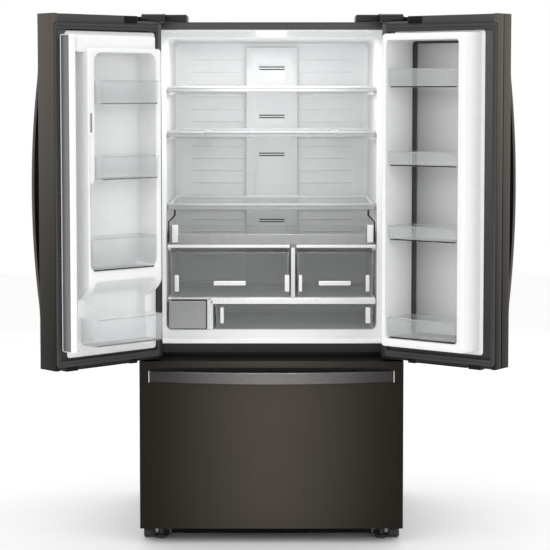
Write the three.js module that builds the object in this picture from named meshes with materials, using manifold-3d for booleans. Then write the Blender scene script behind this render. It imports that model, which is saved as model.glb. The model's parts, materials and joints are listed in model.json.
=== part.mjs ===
// French door refrigerator: bottom freezer drawer, door-in-door on the right, folding mullion on the left.
// Millimetres, +Z up. The cabinet's front plane is Y = 0 and its back is towards +Y; the doors stand open.
import * as THREE from 'three';
import { mergeVertices } from 'three/addons/utils/BufferGeometryUtils.js';
import Module from 'manifold-3d';

const wasm = await Module();
wasm.setup();

// ---- driving dimensions: cabinet ----
const HALF_WIDTH = 450;
const CASE_DEPTH = 738;
const CASE_BOTTOM = 62;
const CASE_TOP = 1772;
const SHEET = 3;
const FIT = 0.4;
const WALL = 4;

// ---- driving dimensions: doors; u from the hinge-side edge, w from the outer face, z from the floor ----
const DOOR_WIDTH = 446;
const DOOR_THICKNESS = 92;
const DOOR_BOTTOM = 633;
const DOOR_TOP = 1788;
const DOOR_FRONT = -104;
const HINGE_U = 28;
const HINGE_W = 45;
const LEFT_OPENING = 137;
const RIGHT_OPENING = 143;
const OUTER_DOOR_THICKNESS = 50;
const FRAME_START = 54.3;
const OUTER_PIVOT = [12, 30];
const DIKE_HEIGHT = 165;
const BIN_REACH = 195;
const BOX_REACH = 194;
const MULLION = { u: [412, 431], w: [103, 166], z: [698, 1720], pivot: [421, 114.5], pin: 3 };
const GASKET = { u: [23, 445], z: [645, 1757], innerU: [36, 433.5], innerZ: [668, 1737], depth: 11.6 };
const SEAL_GAP = 0.3;
const PIN_RADIUS = 5;
const PIN_PLAY = 0.6;
const BIN_WALL = 3;

// ---- driving dimensions: fresh-food compartment ----
const FRONT_ZONE = { x: 388, depth: 105, z: [676.4, 1742.6] };
const SHELF_ZONE = { x: 366, depth: 636, z: [708, 1722] };
const SHELF_FRONT = 118;
const DRAWER_FRONT = 98;
const SHELF_BACK = 600;
const SHELF_X = 362;

// ---- driving dimensions: freezer ----
const FREEZER_ZONE = { x: 376, depth: 636, low: 470, z: [104, 586], step: 340 };
const MACHINE_ZONE = { front: 500, top: 300 };
const DRAWER_Z = [52, 626];
const DRAWER_HALF = 448;
const SLIDE_Z = 290;
const HINGE_COVER_TOP = 1800;

// Middle of the standing object, doors open, measured from the cabinet's own centreline and front plane.
const CENTRE_X = 10.4;
const CENTRE_Y = 157.8;

// ---- solids ----
function solid(geometry) {
  geometry.deleteAttribute('normal');
  geometry.deleteAttribute('uv');
  const merged = mergeVertices(geometry, 1e-4);
  return new wasm.Manifold(new wasm.Mesh({
    numProp: 3,
    vertProperties: new Float32Array(merged.attributes.position.array),
    triVerts: new Uint32Array(merged.index.array),
  }));
}

function block([x0, x1], [y0, y1], [z0, z1]) {
  const geometry = new THREE.BoxGeometry(x1 - x0, y1 - y0, z1 - z0);
  geometry.translate((x0 + x1) / 2, (y0 + y1) / 2, (z0 + z1) / 2);
  return solid(geometry);
}

// An outline of [y, z] points carried along X.
function extrudeX(outline, [x0, x1]) {
  const shape = new THREE.Shape(outline.map(([y, z]) => new THREE.Vector2(y, z)));
  const geometry = new THREE.ExtrudeGeometry(shape, { depth: x1 - x0, bevelEnabled: false });
  geometry.applyMatrix4(new THREE.Matrix4().set(0, 0, 1, x0, 1, 0, 0, 0, 0, 1, 0, 0, 0, 0, 0, 1));
  return solid(geometry);
}

// An outline of [x, y] points carried along Z.
function extrudeZ(outline, [z0, z1]) {
  const shape = new THREE.Shape(outline.map(([x, y]) => new THREE.Vector2(x, y)));
  const geometry = new THREE.ExtrudeGeometry(shape, { depth: z1 - z0, bevelEnabled: false });
  geometry.translate(0, 0, z0);
  return solid(geometry);
}

function rodZ(radius, [x, y], [z0, z1], sides = 16) {
  const geometry = new THREE.CylinderGeometry(radius, radius, z1 - z0, sides);
  geometry.rotateX(Math.PI / 2);
  geometry.translate(x, y, (z0 + z1) / 2);
  return solid(geometry);
}

function rodX(radius, [y, z], [x0, x1], sides = 16) {
  const geometry = new THREE.CylinderGeometry(radius, radius, x1 - x0, sides);
  geometry.rotateZ(Math.PI / 2);
  geometry.translate((x0 + x1) / 2, y, z);
  return solid(geometry);
}

const join = (first, ...others) => others.reduce((whole, piece) => whole.add(piece), first);
const cut = (first, ...others) => others.reduce((whole, piece) => whole.subtract(piece), first);
const both = (x) => [-x, x];
const mirrored = (side, [near, far]) => (side > 0 ? [near, far] : [-far, -near]);
const tray = (x, y, z, wall) => cut(
  block(x, y, z),
  block([x[0] + wall, x[1] - wall], [y[0] + wall, y[1] - wall], [z[0] + wall, z[1] + 1]),
);

// ---- materials ----
const finish = (color, roughness, metalness, extra = {}) => (
  new THREE.MeshStandardMaterial({ color, roughness, metalness, ...extra })
);
const glassy = { transparent: true, opacity: 0.35 };
const MATERIALS = {
  blackSteel: finish(0x3a3630, 0.38, 0.75),
  darkPaint: finish(0x46484a, 0.5, 0.3),
  darkPlastic: finish(0x2c2d2e, 0.55, 0),
  handle: finish(0x8b8680, 0.28, 0.9),
  liner: finish(0xf2f3f4, 0.35, 0),
  clear: finish(0xdfe8ec, 0.08, 0, glassy),
  shelfTrim: finish(0xd9dcde, 0.3, 0.1, glassy),
  gasket: finish(0x17181a, 0.75, 0),
  steel: finish(0x9a9c9e, 0.35, 0.9),
  greyPanel: finish(0x6b6d70, 0.45, 0.1),
  foam: finish(0xe8d9a8, 0.9, 0),
  motor: finish(0x1d1e20, 0.45, 0.3),
  tyre: finish(0x2b2b2c, 0.8, 0),
  lamp: finish(0xfbfbf6, 0.25, 0),
};

function part(name, shape, material) {
  const { vertProperties, triVerts } = shape.getMesh();
  const geometry = new THREE.BufferGeometry();
  geometry.setAttribute('position', new THREE.BufferAttribute(new Float32Array(vertProperties), 3));
  geometry.setIndex(new THREE.BufferAttribute(new Uint32Array(triVerts), 1));
  geometry.computeVertexNormals();
  const mesh = new THREE.Mesh(geometry, MATERIALS[material]);
  mesh.name = name;
  return mesh;
}

// ---- cabinet ----
function outerCase() {
  const width = both(HALF_WIDTH);
  const inner = both(HALF_WIDTH - SHEET);
  return cut(
    block(width, [0, CASE_DEPTH], [CASE_BOTTOM, CASE_TOP]),
    block(inner, [-1, CASE_DEPTH + 1], [CASE_BOTTOM + SHEET, CASE_TOP - SHEET]),
  );
}

const FRIDGE_FLANGE = { x: FRONT_ZONE.x + WALL, z: [FRONT_ZONE.z[0] - WALL, FRONT_ZONE.z[1] + WALL] };
const FREEZER_FLANGE = { x: FREEZER_ZONE.x + WALL, z: [FREEZER_ZONE.z[0] - WALL, FREEZER_ZONE.z[1] + WALL] };
const FRAME_DEPTH = 18;

function grown([low, high], by) {
  return [low - by, high + by];
}

function frontFrame() {
  const inside = HALF_WIDTH - SHEET - FIT;
  return cut(
    block(both(inside), [0, FRAME_DEPTH], [CASE_BOTTOM + SHEET + FIT, CASE_TOP - SHEET - FIT]),
    block(both(FRIDGE_FLANGE.x + FIT), [-1, FRAME_DEPTH + 1], grown(FRIDGE_FLANGE.z, FIT)),
    block(both(FREEZER_FLANGE.x + FIT), [-1, FRAME_DEPTH + 1], grown(FREEZER_FLANGE.z, FIT)),
  );
}

const VENTS = { x: [120, 380], first: 110, pitch: 24, height: 9, count: 5 };

function rearPanel() {
  const plate = block(
    both(HALF_WIDTH - SHEET - FIT),
    [CASE_DEPTH - SHEET, CASE_DEPTH],
    [CASE_BOTTOM + SHEET + FIT, CASE_TOP - SHEET - FIT],
  );
  const vents = [];
  for (let row = 0; row < VENTS.count; row += 1) {
    const z = VENTS.first + row * VENTS.pitch;
    vents.push(block(VENTS.x, [CASE_DEPTH - SHEET - 1, CASE_DEPTH + 1], [z, z + VENTS.height]));
  }
  return cut(plate, ...vents);
}

// Liner envelopes, grown by a clearance, so that the insulation can be cut around them.
function fridgeEnvelope(by) {
  return join(
    block(both(FRIDGE_FLANGE.x + by), [-by, FRONT_ZONE.depth + WALL + by], grown(FRIDGE_FLANGE.z, by)),
    block(
      both(SHELF_ZONE.x + WALL + by),
      [-by, SHELF_ZONE.depth + WALL + by],
      grown(SHELF_ZONE.z, WALL + by),
    ),
  );
}

function freezerEnvelope(by) {
  const upper = [FREEZER_ZONE.step - WALL, FREEZER_ZONE.z[1] + WALL];
  return join(
    block(both(FREEZER_FLANGE.x + by), [-by, FREEZER_ZONE.low + WALL + by], grown(FREEZER_FLANGE.z, by)),
    block(both(FREEZER_FLANGE.x + by), [-by, FREEZER_ZONE.depth + WALL + by], grown(upper, by)),
  );
}

function cabinetFoam() {
  return cut(
    block(
      both(HALF_WIDTH - SHEET - FIT),
      [FRAME_DEPTH + FIT, CASE_DEPTH - SHEET - FIT],
      [CASE_BOTTOM + SHEET + FIT, CASE_TOP - SHEET - FIT],
    ),
    fridgeEnvelope(FIT),
    freezerEnvelope(FIT),
    block(both(HALF_WIDTH), [MACHINE_ZONE.front, CASE_DEPTH], [CASE_BOTTOM, MACHINE_ZONE.top]),
  );
}

// Undersides of what the liner's side ribs carry.
const SHELVES = {
  top: [1536, 1556],
  second: [1379, 1401],
  lower: [1126, 1149],
  crisperCover: [994, 1005],
  pantryCover: [812, 820],
};
const RIB = { width: 14, height: 12, y: [140, 560] };
const BACK_LEDGE = { x: [110, 225], front: 580 };

function fridgeLiner() {
  const hollow = join(
    block(both(FRONT_ZONE.x), [-1, FRONT_ZONE.depth], FRONT_ZONE.z),
    block(both(SHELF_ZONE.x), [-1, SHELF_ZONE.depth], SHELF_ZONE.z),
  );
  const ribs = [];
  for (const [bottom] of Object.values(SHELVES)) {
    for (const side of [1, -1]) {
      const x = mirrored(side, [SHELF_ZONE.x - RIB.width, SHELF_ZONE.x + 1]);
      ribs.push(block(x, RIB.y, [bottom - FIT - RIB.height, bottom - FIT]));
    }
  }
  const ledgeZ = [SHELVES.second[0] - FIT - RIB.height, SHELVES.second[0] - FIT];
  for (const side of [1, -1]) {
    ribs.push(block(mirrored(side, BACK_LEDGE.x), [BACK_LEDGE.front, SHELF_ZONE.depth + 1], ledgeZ));
  }
  return join(cut(fridgeEnvelope(0), hollow), ...ribs);
}

const BASKET_LEDGE = { x: 356, z: [408, 419], y: [20, 600] };

function freezerLiner() {
  const { x, depth, low, z, step } = FREEZER_ZONE;
  const hollow = join(
    block(both(x), [-1, low], z),
    block(both(x), [-1, depth], [step, z[1]]),
  );
  const ledges = [1, -1].map((side) => (
    block(mirrored(side, [BASKET_LEDGE.x, x + 1]), BASKET_LEDGE.y, BASKET_LEDGE.z)
  ));
  return join(cut(freezerEnvelope(0), hollow), ...ledges);
}

const GRILLE = { x: 346, y: [-8, 6], bottom: 14 };
const GRILLE_SLOTS = { x: 320, first: 20, pitch: 12, height: 6, depth: 4, count: 3 };

function toeGrille() {
  const [front] = GRILLE.y;
  const slots = [];
  for (let row = 0; row < GRILLE_SLOTS.count; row += 1) {
    const z = GRILLE_SLOTS.first + row * GRILLE_SLOTS.pitch;
    const y = [front - 1, front + GRILLE_SLOTS.depth];
    slots.push(block(both(GRILLE_SLOTS.x), y, [z, z + GRILLE_SLOTS.height]));
  }
  return cut(block(both(GRILLE.x), GRILLE.y, [GRILLE.bottom, CASE_BOTTOM - 2 * FIT]), ...slots);
}

const DUCT = { x: 95, front: 612, z: [730, 1700] };
const DUCT_SLOTS = { x: 48, z: [1624, 1444, 1302, 1053], apart: 9, height: 4, depth: 6 };

function airDuctCover() {
  const slots = [];
  for (const centre of DUCT_SLOTS.z) {
    for (const side of [1, -1]) {
      const z = centre + side * DUCT_SLOTS.apart / 2;
      const y = [DUCT.front - 1, DUCT.front + DUCT_SLOTS.depth];
      slots.push(block(both(DUCT_SLOTS.x), y, grown([z, z], DUCT_SLOTS.height / 2)));
    }
  }
  return cut(block(both(DUCT.x), [DUCT.front, SHELF_ZONE.depth - FIT], DUCT.z), ...slots);
}

const LIGHT = { x: 50, y: [44, 100], drop: 10, bevel: 8 };

function ceilingLight() {
  const top = FRONT_ZONE.z[1] - FIT;
  const [front, back] = LIGHT.y;
  const bottom = top - LIGHT.drop;
  const lens = [[front, top], [back, top], [back - LIGHT.bevel, bottom], [front + LIGHT.bevel, bottom]];
  return extrudeX(lens, both(LIGHT.x));
}

// A glass shelf in a frame: a deep front lip, a thin pane, two side rails and a low back rail.
const FRAME = { lip: 14, lap: 10, rail: 12, paneDown: [12, 6], railDown: 4, backDown: 14 };

function glassShelf([x0, x1], [bottom, top]) {
  const depth = [SHELF_FRONT + FRAME.lap, SHELF_BACK];
  const [paneBottom, paneTop] = FRAME.paneDown.map((down) => top - down);
  return join(
    block([x0, x1], [SHELF_FRONT, SHELF_FRONT + FRAME.lip], [bottom, top]),
    block([x0, x1], depth, [paneBottom, paneTop]),
    block([x0, x0 + FRAME.rail], depth, [bottom, top - FRAME.railDown]),
    block([x1 - FRAME.rail, x1], depth, [bottom, top - FRAME.railDown]),
    block([x0, x1], [SHELF_BACK - FRAME.rail, SHELF_BACK], [top - FRAME.backDown, top]),
  );
}

const HALF_SHELVES = [-230, 229];
const DIVIDER_X = [68, 82];

function crisperCover() {
  const [bottom, top] = SHELVES.crisperCover;
  return join(
    block(both(SHELF_X), [DRAWER_FRONT, DRAWER_FRONT + FRAME.lip], [bottom, top]),
    block(both(SHELF_X), [DRAWER_FRONT + FRAME.lap, SHELF_BACK], [bottom, top - 2]),
    block(DIVIDER_X, [DRAWER_FRONT, SHELF_BACK], [SHELVES.pantryCover[1] + FIT, bottom + 1]),
  );
}

const STRIP_X = [-225, -204];
const PANTRY_LIP = 797;

function pantryCover() {
  const [bottom, top] = SHELVES.pantryCover;
  return join(
    block([STRIP_X[0], SHELF_X], [DRAWER_FRONT, DRAWER_FRONT + FRAME.lip], [PANTRY_LIP, top]),
    block(both(SHELF_X), [DRAWER_FRONT + FRAME.lap, SHELF_BACK], [bottom, top]),
    block(STRIP_X, [DRAWER_FRONT, SHELF_BACK], [SHELF_ZONE.z[0] + FIT, bottom + 1]),
  );
}

const FILTER_COVER = { x: [-358, -229], y: [97, 105], z: [712, 808] };

function filterCover() {
  return block(FILTER_COVER.x, FILTER_COVER.y, FILTER_COVER.z);
}

// A steel hinge bracket on the cabinet's top: base plate, riser, arm over the door and pivot pin.
const HINGE_X = HALF_WIDTH - HINGE_U;
const HINGE_Y = DOOR_FRONT + HINGE_W;
const ARM = { x: [404, 436], front: -78, z: [1791, 1796] };
const BASE_PLATE = { x: [334, 436], y: [2, 108], top: CASE_TOP + 6 };
const RISER_Y = [2, 10];
const TOP_PIN_BOTTOM = 1780;

function topHinge(side) {
  const arm = mirrored(side, ARM.x);
  return join(
    block(mirrored(side, BASE_PLATE.x), BASE_PLATE.y, [CASE_TOP + FIT, BASE_PLATE.top]),
    block(arm, RISER_Y, [CASE_TOP + FIT, ARM.z[1]]),
    block(arm, [ARM.front, RISER_Y[1]], ARM.z),
    rodZ(PIN_RADIUS, [side * HINGE_X, HINGE_Y], [TOP_PIN_BOTTOM, ARM.z[0] + 1]),
  );
}

// A moulded cap over each top hinge: a box on the cabinet and a thin nose over the door's corner.
const CAP = {
  x: [288, 442],
  y: [4, 150],
  noseX: [365, 442],
  nose: -98,
  noseBottom: 1790.8,
  roof: 2.5,
  side: 3.5,
};

function hingeCover(side) {
  const roof = HINGE_COVER_TOP - CAP.roof;
  const outside = CAP.x[1] - CAP.side;
  const overBase = [BASE_PLATE.x[0] - 4, outside];
  const overArm = [ARM.x[0] - 3, outside];
  return cut(
    join(
      block(mirrored(side, CAP.x), CAP.y, [CASE_TOP + FIT, HINGE_COVER_TOP]),
      block(mirrored(side, CAP.noseX), [CAP.nose, CAP.y[0] + 2], [CAP.noseBottom, HINGE_COVER_TOP]),
    ),
    block(mirrored(side, overBase), [0, BASE_PLATE.y[1] + 4], [CASE_TOP - 1, roof]),
    block(mirrored(side, overArm), [ARM.front - 12, CAP.y[0] + 1], [CAP.noseBottom - 1, roof]),
  );
}

const CENTRE_PLATE = {
  x: [400, 444],
  front: -74,
  flange: -4,
  z: [627, 630.5],
  flangeBottom: 613,
  pinTop: 640.5,
};

function centreHinge(side) {
  const x = mirrored(side, CENTRE_PLATE.x);
  const [bottom, top] = CENTRE_PLATE.z;
  return join(
    block(x, [CENTRE_PLATE.front, -FIT], [bottom, top]),
    block(x, [CENTRE_PLATE.flange, -FIT], [CENTRE_PLATE.flangeBottom, top]),
    rodZ(PIN_RADIUS, [side * HINGE_X, HINGE_Y], [top - 0.5, CENTRE_PLATE.pinTop]),
  );
}

// A front foot: bracket under the case, levelling leg with its pad, and a roller in a fork.
const FOOT = {
  y: 45,
  bracketX: [352, 442],
  bracketY: [20, 70],
  bracketBottom: 48,
  legX: 374,
  leg: 7,
  pad: 20,
  padTop: 12,
};
const ROLLER = {
  radius: 22,
  x: [406, 432],
  axle: 4,
  axleX: [400, 438],
  fork: 4,
  forkDepth: 7,
  forkBottom: 18,
};

function frontFoot(side) {
  const at = (x) => mirrored(side, x);
  const leg = [side * FOOT.legX, FOOT.y];
  const forkY = grown([FOOT.y, FOOT.y], ROLLER.forkDepth);
  const forkZ = [ROLLER.forkBottom, FOOT.bracketBottom + 2];
  const [axleNear, axleFar] = ROLLER.axleX;
  return join(
    block(at(FOOT.bracketX), FOOT.bracketY, [FOOT.bracketBottom, CASE_BOTTOM - FIT]),
    rodZ(FOOT.leg, leg, [FOOT.padTop - 2, FOOT.bracketBottom + 2], 12),
    rodZ(FOOT.pad, leg, [0, FOOT.padTop], 20),
    rodX(ROLLER.radius, [FOOT.y, ROLLER.radius], at(ROLLER.x), 20),
    rodX(ROLLER.axle, [FOOT.y, ROLLER.radius], at(ROLLER.axleX), 8),
    block(at([axleNear, axleNear + ROLLER.fork]), forkY, forkZ),
    block(at([axleFar - ROLLER.fork, axleFar]), forkY, forkZ),
  );
}

const REAR_ROLLER = {
  y: 690,
  radius: 25,
  x: [368, 396],
  axle: 5,
  hangers: [[356, 360], [400, 404]],
  hanger: 12,
  bottom: 14,
};

function rearRollers() {
  const { y, radius, x, axle, hangers, hanger, bottom } = REAR_ROLLER;
  const pieces = [rodX(axle, [y, radius], both(hangers[1][1]), 12)];
  for (const side of [1, -1]) {
    pieces.push(rodX(radius, [y, radius], mirrored(side, x), 20));
    for (const plate of hangers) {
      pieces.push(block(mirrored(side, plate), grown([y, y], hanger), [bottom, CASE_BOTTOM - FIT]));
    }
  }
  return join(...pieces);
}

// The sealed compressor: a drum with a domed top on a bolted base plate.
const DRUM = { radius: 82, centre: [-190, 620], bottom: 76, shoulder: 190, dome: 60 };
const DRUM_BASE = { x: [-300, -80], y: [520, 720], top: 78 };

function compressor() {
  const { radius, centre, bottom, shoulder, dome } = DRUM;
  const steps = 4;
  const profile = [[0, bottom], [radius, bottom]];
  for (let step = 0; step <= steps; step += 1) {
    const angle = (step / steps) * (Math.PI / 2);
    const across = step === steps ? 0 : radius * Math.cos(angle);
    profile.push([across, shoulder + dome * Math.sin(angle)]);
  }
  const drum = new THREE.LatheGeometry(profile.map(([r, z]) => new THREE.Vector2(r, z)), 18);
  drum.rotateX(Math.PI / 2);
  drum.translate(...centre, 0);
  return join(block(DRUM_BASE.x, DRUM_BASE.y, [CASE_BOTTOM + SHEET + FIT, DRUM_BASE.top]), solid(drum));
}

// ---- door building blocks; side +1 hangs on the left, side -1 on the right ----
const across = (side, [u0, u1]) => (side > 0 ? [u0 - HINGE_U, u1 - HINGE_U] : [HINGE_U - u1, HINGE_U - u0]);
const deep = ([w0, w1]) => [w0 - HINGE_W, w1 - HINGE_W];
const slab = (side, u, w, z) => block(across(side, u), deep(w), z);
const doorPin = (side, [u, w], radius, z) => rodZ(radius, [side * (u - HINGE_U), w - HINGE_W], z);
const FULL_HEIGHT = [DOOR_BOTTOM, DOOR_TOP];
const inset = ([low, high], by) => [low + by, high - by];

function pinHoles(side, pivot, radius, reach) {
  return [
    doorPin(side, pivot, radius, [DOOR_TOP - reach, DOOR_TOP + 5]),
    doorPin(side, pivot, radius, [DOOR_BOTTOM - 5, DOOR_BOTTOM + reach]),
  ];
}

const LEFT_MOUTH = { u: [44, 402], z: [672, 1733] };

function leftDoorShell() {
  return cut(
    slab(1, [0, DOOR_WIDTH], [0, DOOR_THICKNESS], FULL_HEIGHT),
    slab(1, [SHEET, DOOR_WIDTH - SHEET], [SHEET, DOOR_THICKNESS - SHEET], inset(FULL_HEIGHT, SHEET)),
    slab(1, LEFT_MOUTH.u, [DOOR_THICKNESS - SHEET - 1, DOOR_THICKNESS + 1], LEFT_MOUTH.z),
    ...pinHoles(1, [HINGE_U, HINGE_W], PIN_RADIUS + PIN_PLAY, 10),
  );
}

// The liner's dikes stand on the door's inner face and carry the bins in three recesses. The middle one is
// a pocket over a ledge; below the ledge both dikes sweep back almost to the gasket flange. A lower and
// wider band closes the liner above the dikes.
const LEFT_DIKE = { u: [66, 366], z: [690, 1677], low: 104, ledge: 926, bend: 890, foot: 858 };
const TOP_BAND = { u: [66, 402], height: 150, z: [1676, 1722] };
const RECESS_FLOOR = 70;
const RECESSES = {
  bins: { u: [86, 340], z: [1236, 1661] },
  pocket: { u: [86, 362], z: [956, 1237] },
  bottom: { u: [86, 340], z: [712, LEFT_DIKE.ledge] },
};

function dikeSweep() {
  const { u, z, low, ledge, bend, foot } = LEFT_DIKE;
  const curve = new THREE.QuadraticBezierCurve(
    new THREE.Vector2(DIKE_HEIGHT, ledge),
    new THREE.Vector2(DIKE_HEIGHT, bend),
    new THREE.Vector2(low, foot),
  );
  const bottom = z[0] - 1;
  const outline = [[low, bottom], [DIKE_HEIGHT + 1, bottom], [DIKE_HEIGHT + 1, ledge]];
  outline.push(...curve.getPoints(6).map((point) => [point.x, point.y]));
  return extrudeX(outline.map(([w, height]) => [w - HINGE_W, height]), across(1, grown(u, 1)));
}

// Brackets on the liner's free side that hold the mullion's two pivot pins.
const EAR = { u: [386, 401], half: 7.5, past: 7, arm: 10, root: 14 };

function mullionEars() {
  const [pivotU, pivotW] = MULLION.pivot;
  const [low, high] = MULLION.z;
  const armU = [EAR.u[0], pivotU + EAR.past];
  const w = [pivotW - EAR.half, pivotW + EAR.half];
  const rootW = [DOOR_THICKNESS - 2, w[1]];
  return [
    slab(1, EAR.u, rootW, [high - EAR.arm, high + EAR.arm]),
    slab(1, EAR.u, w, [high - EAR.arm, high + EAR.root]),
    slab(1, armU, w, [high + EAR.root - EAR.arm, high + EAR.root]),
    doorPin(1, MULLION.pivot, MULLION.pin, [high - 8, high + 5]),
    slab(1, EAR.u, rootW, [low - EAR.root, low + EAR.arm]),
    slab(1, armU, w, [low - EAR.root, low - EAR.root + EAR.arm]),
    doorPin(1, MULLION.pivot, MULLION.pin, [low - 5, low + 8]),
  ];
}

function leftDoorLiner() {
  const skin = SHEET + FIT;
  const w = [RECESS_FLOOR, DIKE_HEIGHT + 1];
  const core = join(
    slab(1, inset([0, DOOR_WIDTH], skin), inset([0, DOOR_THICKNESS], skin), inset(FULL_HEIGHT, skin)),
    slab(1, inset(LEFT_MOUTH.u, FIT), [DOOR_THICKNESS - 12, DOOR_THICKNESS], inset(LEFT_MOUTH.z, FIT)),
    slab(1, LEFT_DIKE.u, [DOOR_THICKNESS - 12, DIKE_HEIGHT], LEFT_DIKE.z),
    slab(1, TOP_BAND.u, [DOOR_THICKNESS - 12, TOP_BAND.height], TOP_BAND.z),
  );
  const body = cut(
    core,
    ...Object.values(RECESSES).map((recess) => slab(1, recess.u, w, recess.z)),
    dikeSweep(),
    ...pinHoles(1, [HINGE_U, HINGE_W], PIN_RADIUS + PIN_PLAY, 12),
  );
  return join(body, ...mullionEars());
}

function mullionBar() {
  const [low, high] = MULLION.z;
  const hole = MULLION.pin + 0.8;
  return cut(
    slab(1, MULLION.u, MULLION.w, MULLION.z),
    doorPin(1, MULLION.pivot, hole, [high - 9, high + 1]),
    doorPin(1, MULLION.pivot, hole, [low - 1, low + 9]),
  );
}

function doorGasket(side) {
  const w = [DOOR_THICKNESS + SEAL_GAP, DOOR_THICKNESS + GASKET.depth];
  return cut(slab(side, GASKET.u, w, GASKET.z), slab(side, GASKET.innerU, grown(w, 1), GASKET.innerZ));
}

// An open-topped door bin that hangs between the liner's two dikes.
const doorBin = (side, u, w, z) => tray(across(side, u), deep(w), z, BIN_WALL);

const BIN_FIT = 2;
const LEFT_BINS = [
  { u: inset(RECESSES.bins.u, BIN_FIT), z: [1496, 1573] },
  { u: inset(RECESSES.bins.u, BIN_FIT), z: [1252, 1329] },
  { u: inset(RECESSES.pocket.u, BIN_FIT), z: [RECESSES.pocket.z[0] + FIT, 1064] },
];
const LOWEST_BIN = { frontU: [74, 366], z: [RECESSES.bottom.z[0] + FIT, 802] };
const BIN_BACK = RECESS_FLOOR + BIN_FIT;

// The lowest bin is wider in front than the recess behind it, and runs past both dikes.
function lowestBin() {
  const { frontU, z } = LOWEST_BIN;
  const backU = inset(RECESSES.bottom.u, BIN_FIT);
  const frontW = [LEFT_DIKE.low + 1, BIN_REACH];
  const inside = [z[0] + BIN_WALL, z[1] + 1];
  return cut(
    join(slab(1, frontU, frontW, z), slab(1, backU, [BIN_BACK, frontW[0] + 1], z)),
    slab(1, inset(frontU, BIN_WALL), inset(frontW, BIN_WALL), inside),
    slab(1, inset(backU, BIN_WALL), [BIN_BACK + BIN_WALL, frontW[0] + BIN_WALL + 1], inside),
  );
}

const RIGHT_BINS = [[1550, 1612], [1292, 1340], [1047, 1095], [720 + FIT, 790]];
const RIGHT_BIN_W = [58, 190];

// A bow with two concentric arcs: [along, outwards] points, flat on its mounting face at both ends.
function bowOutline(half, rise, thickness, segments = 14) {
  const radius = (half * half + rise * rise) / (2 * rise);
  const centre = radius - rise;
  const arc = (r) => {
    const reach = Math.acos((centre + FIT) / r);
    const points = [];
    for (let step = 0; step <= segments; step += 1) {
      const angle = reach * (1 - (2 * step) / segments);
      points.push([-r * Math.sin(angle), r * Math.cos(angle) - centre]);
    }
    return points;
  };
  return [...arc(radius), ...arc(radius - thickness).reverse()];
}

const DOOR_HANDLE = { centre: 1207.5, half: 400, rise: 43, thickness: 14, u: [416, 442] };

function doorHandle(side) {
  const { centre, half, rise, thickness, u } = DOOR_HANDLE;
  const outline = bowOutline(half, rise, thickness).map(([along, out]) => [-HINGE_W - out, centre + along]);
  return extrudeX(outline, across(side, u));
}

// ---- right door: inner frame ----
const FRAME_MOUTH = { u: [50, 400], z: [665, 1737] };
const BOX = { u: [70, 388], z: [690, 1730], openU: [83, 360], openZ: [720, 1705] };
const NOTCH = { u: 60, top: 1778, bottom: 643 };
const DOOR_ARM = { u: [4, 40], w: 18, pin: 4, gap: 3 };

function rightFrameShell() {
  const w = [FRAME_START, DOOR_THICKNESS];
  const body = cut(
    slab(-1, [0, DOOR_WIDTH], w, FULL_HEIGHT),
    slab(-1, [SHEET, DOOR_WIDTH - SHEET], inset(w, SHEET), inset(FULL_HEIGHT, SHEET)),
    slab(-1, FRAME_MOUTH.u, grown(w, 1), FRAME_MOUTH.z),
  );
  const armW = [DOOR_ARM.w, FRAME_START + SHEET];
  const arms = join(
    body,
    slab(-1, DOOR_ARM.u, armW, [NOTCH.top + DOOR_ARM.gap, DOOR_TOP - FIT]),
    slab(-1, DOOR_ARM.u, armW, [DOOR_BOTTOM + FIT, NOTCH.bottom - DOOR_ARM.gap]),
    doorPin(-1, OUTER_PIVOT, DOOR_ARM.pin, [NOTCH.top - 10, NOTCH.top + 4]),
    doorPin(-1, OUTER_PIVOT, DOOR_ARM.pin, [NOTCH.bottom - 4, NOTCH.bottom + 10]),
  );
  return cut(arms, ...pinHoles(-1, [HINGE_U, HINGE_W], PIN_RADIUS + PIN_PLAY, 12));
}

function rightDoorBox() {
  const skin = SHEET + FIT;
  const w = inset([FRAME_START, DOOR_THICKNESS], skin);
  return cut(
    join(
      slab(-1, inset([0, DOOR_WIDTH], skin), w, inset(FULL_HEIGHT, skin)),
      slab(-1, inset(FRAME_MOUTH.u, FIT), [FRAME_START, DOOR_THICKNESS], inset(FRAME_MOUTH.z, FIT)),
      slab(-1, BOX.u, [DOOR_THICKNESS - 12, BOX_REACH], BOX.z),
    ),
    slab(-1, BOX.openU, [FRAME_START - 1, BOX_REACH + 1], BOX.openZ),
  );
}

// ---- right door: outer door ----
const OUTER_MOUTH = { u: [40, 406], z: [670, 1740] };

function outerNotches(by) {
  return [
    slab(-1, [-1, NOTCH.u + by], [-1, OUTER_DOOR_THICKNESS + 1], [NOTCH.top - by, DOOR_TOP + 1]),
    slab(-1, [-1, NOTCH.u + by], [-1, OUTER_DOOR_THICKNESS + 1], [DOOR_BOTTOM - 1, NOTCH.bottom + by]),
  ];
}

function outerPinHoles() {
  return [
    doorPin(-1, OUTER_PIVOT, DOOR_ARM.pin + 0.8, [NOTCH.top - 12, NOTCH.top + 1]),
    doorPin(-1, OUTER_PIVOT, DOOR_ARM.pin + 0.8, [NOTCH.bottom - 1, NOTCH.bottom + 12]),
  ];
}

function outerDoorShell() {
  const w = [0, OUTER_DOOR_THICKNESS];
  const hollow = cut(
    slab(-1, inset([0, DOOR_WIDTH], SHEET), inset(w, SHEET), inset(FULL_HEIGHT, SHEET)),
    ...outerNotches(SHEET),
  );
  return cut(
    slab(-1, [0, DOOR_WIDTH], w, FULL_HEIGHT),
    ...outerNotches(0),
    hollow,
    slab(-1, OUTER_MOUTH.u, [OUTER_DOOR_THICKNESS - SHEET - 1, OUTER_DOOR_THICKNESS + 1], OUTER_MOUTH.z),
    ...outerPinHoles(),
  );
}

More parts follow.
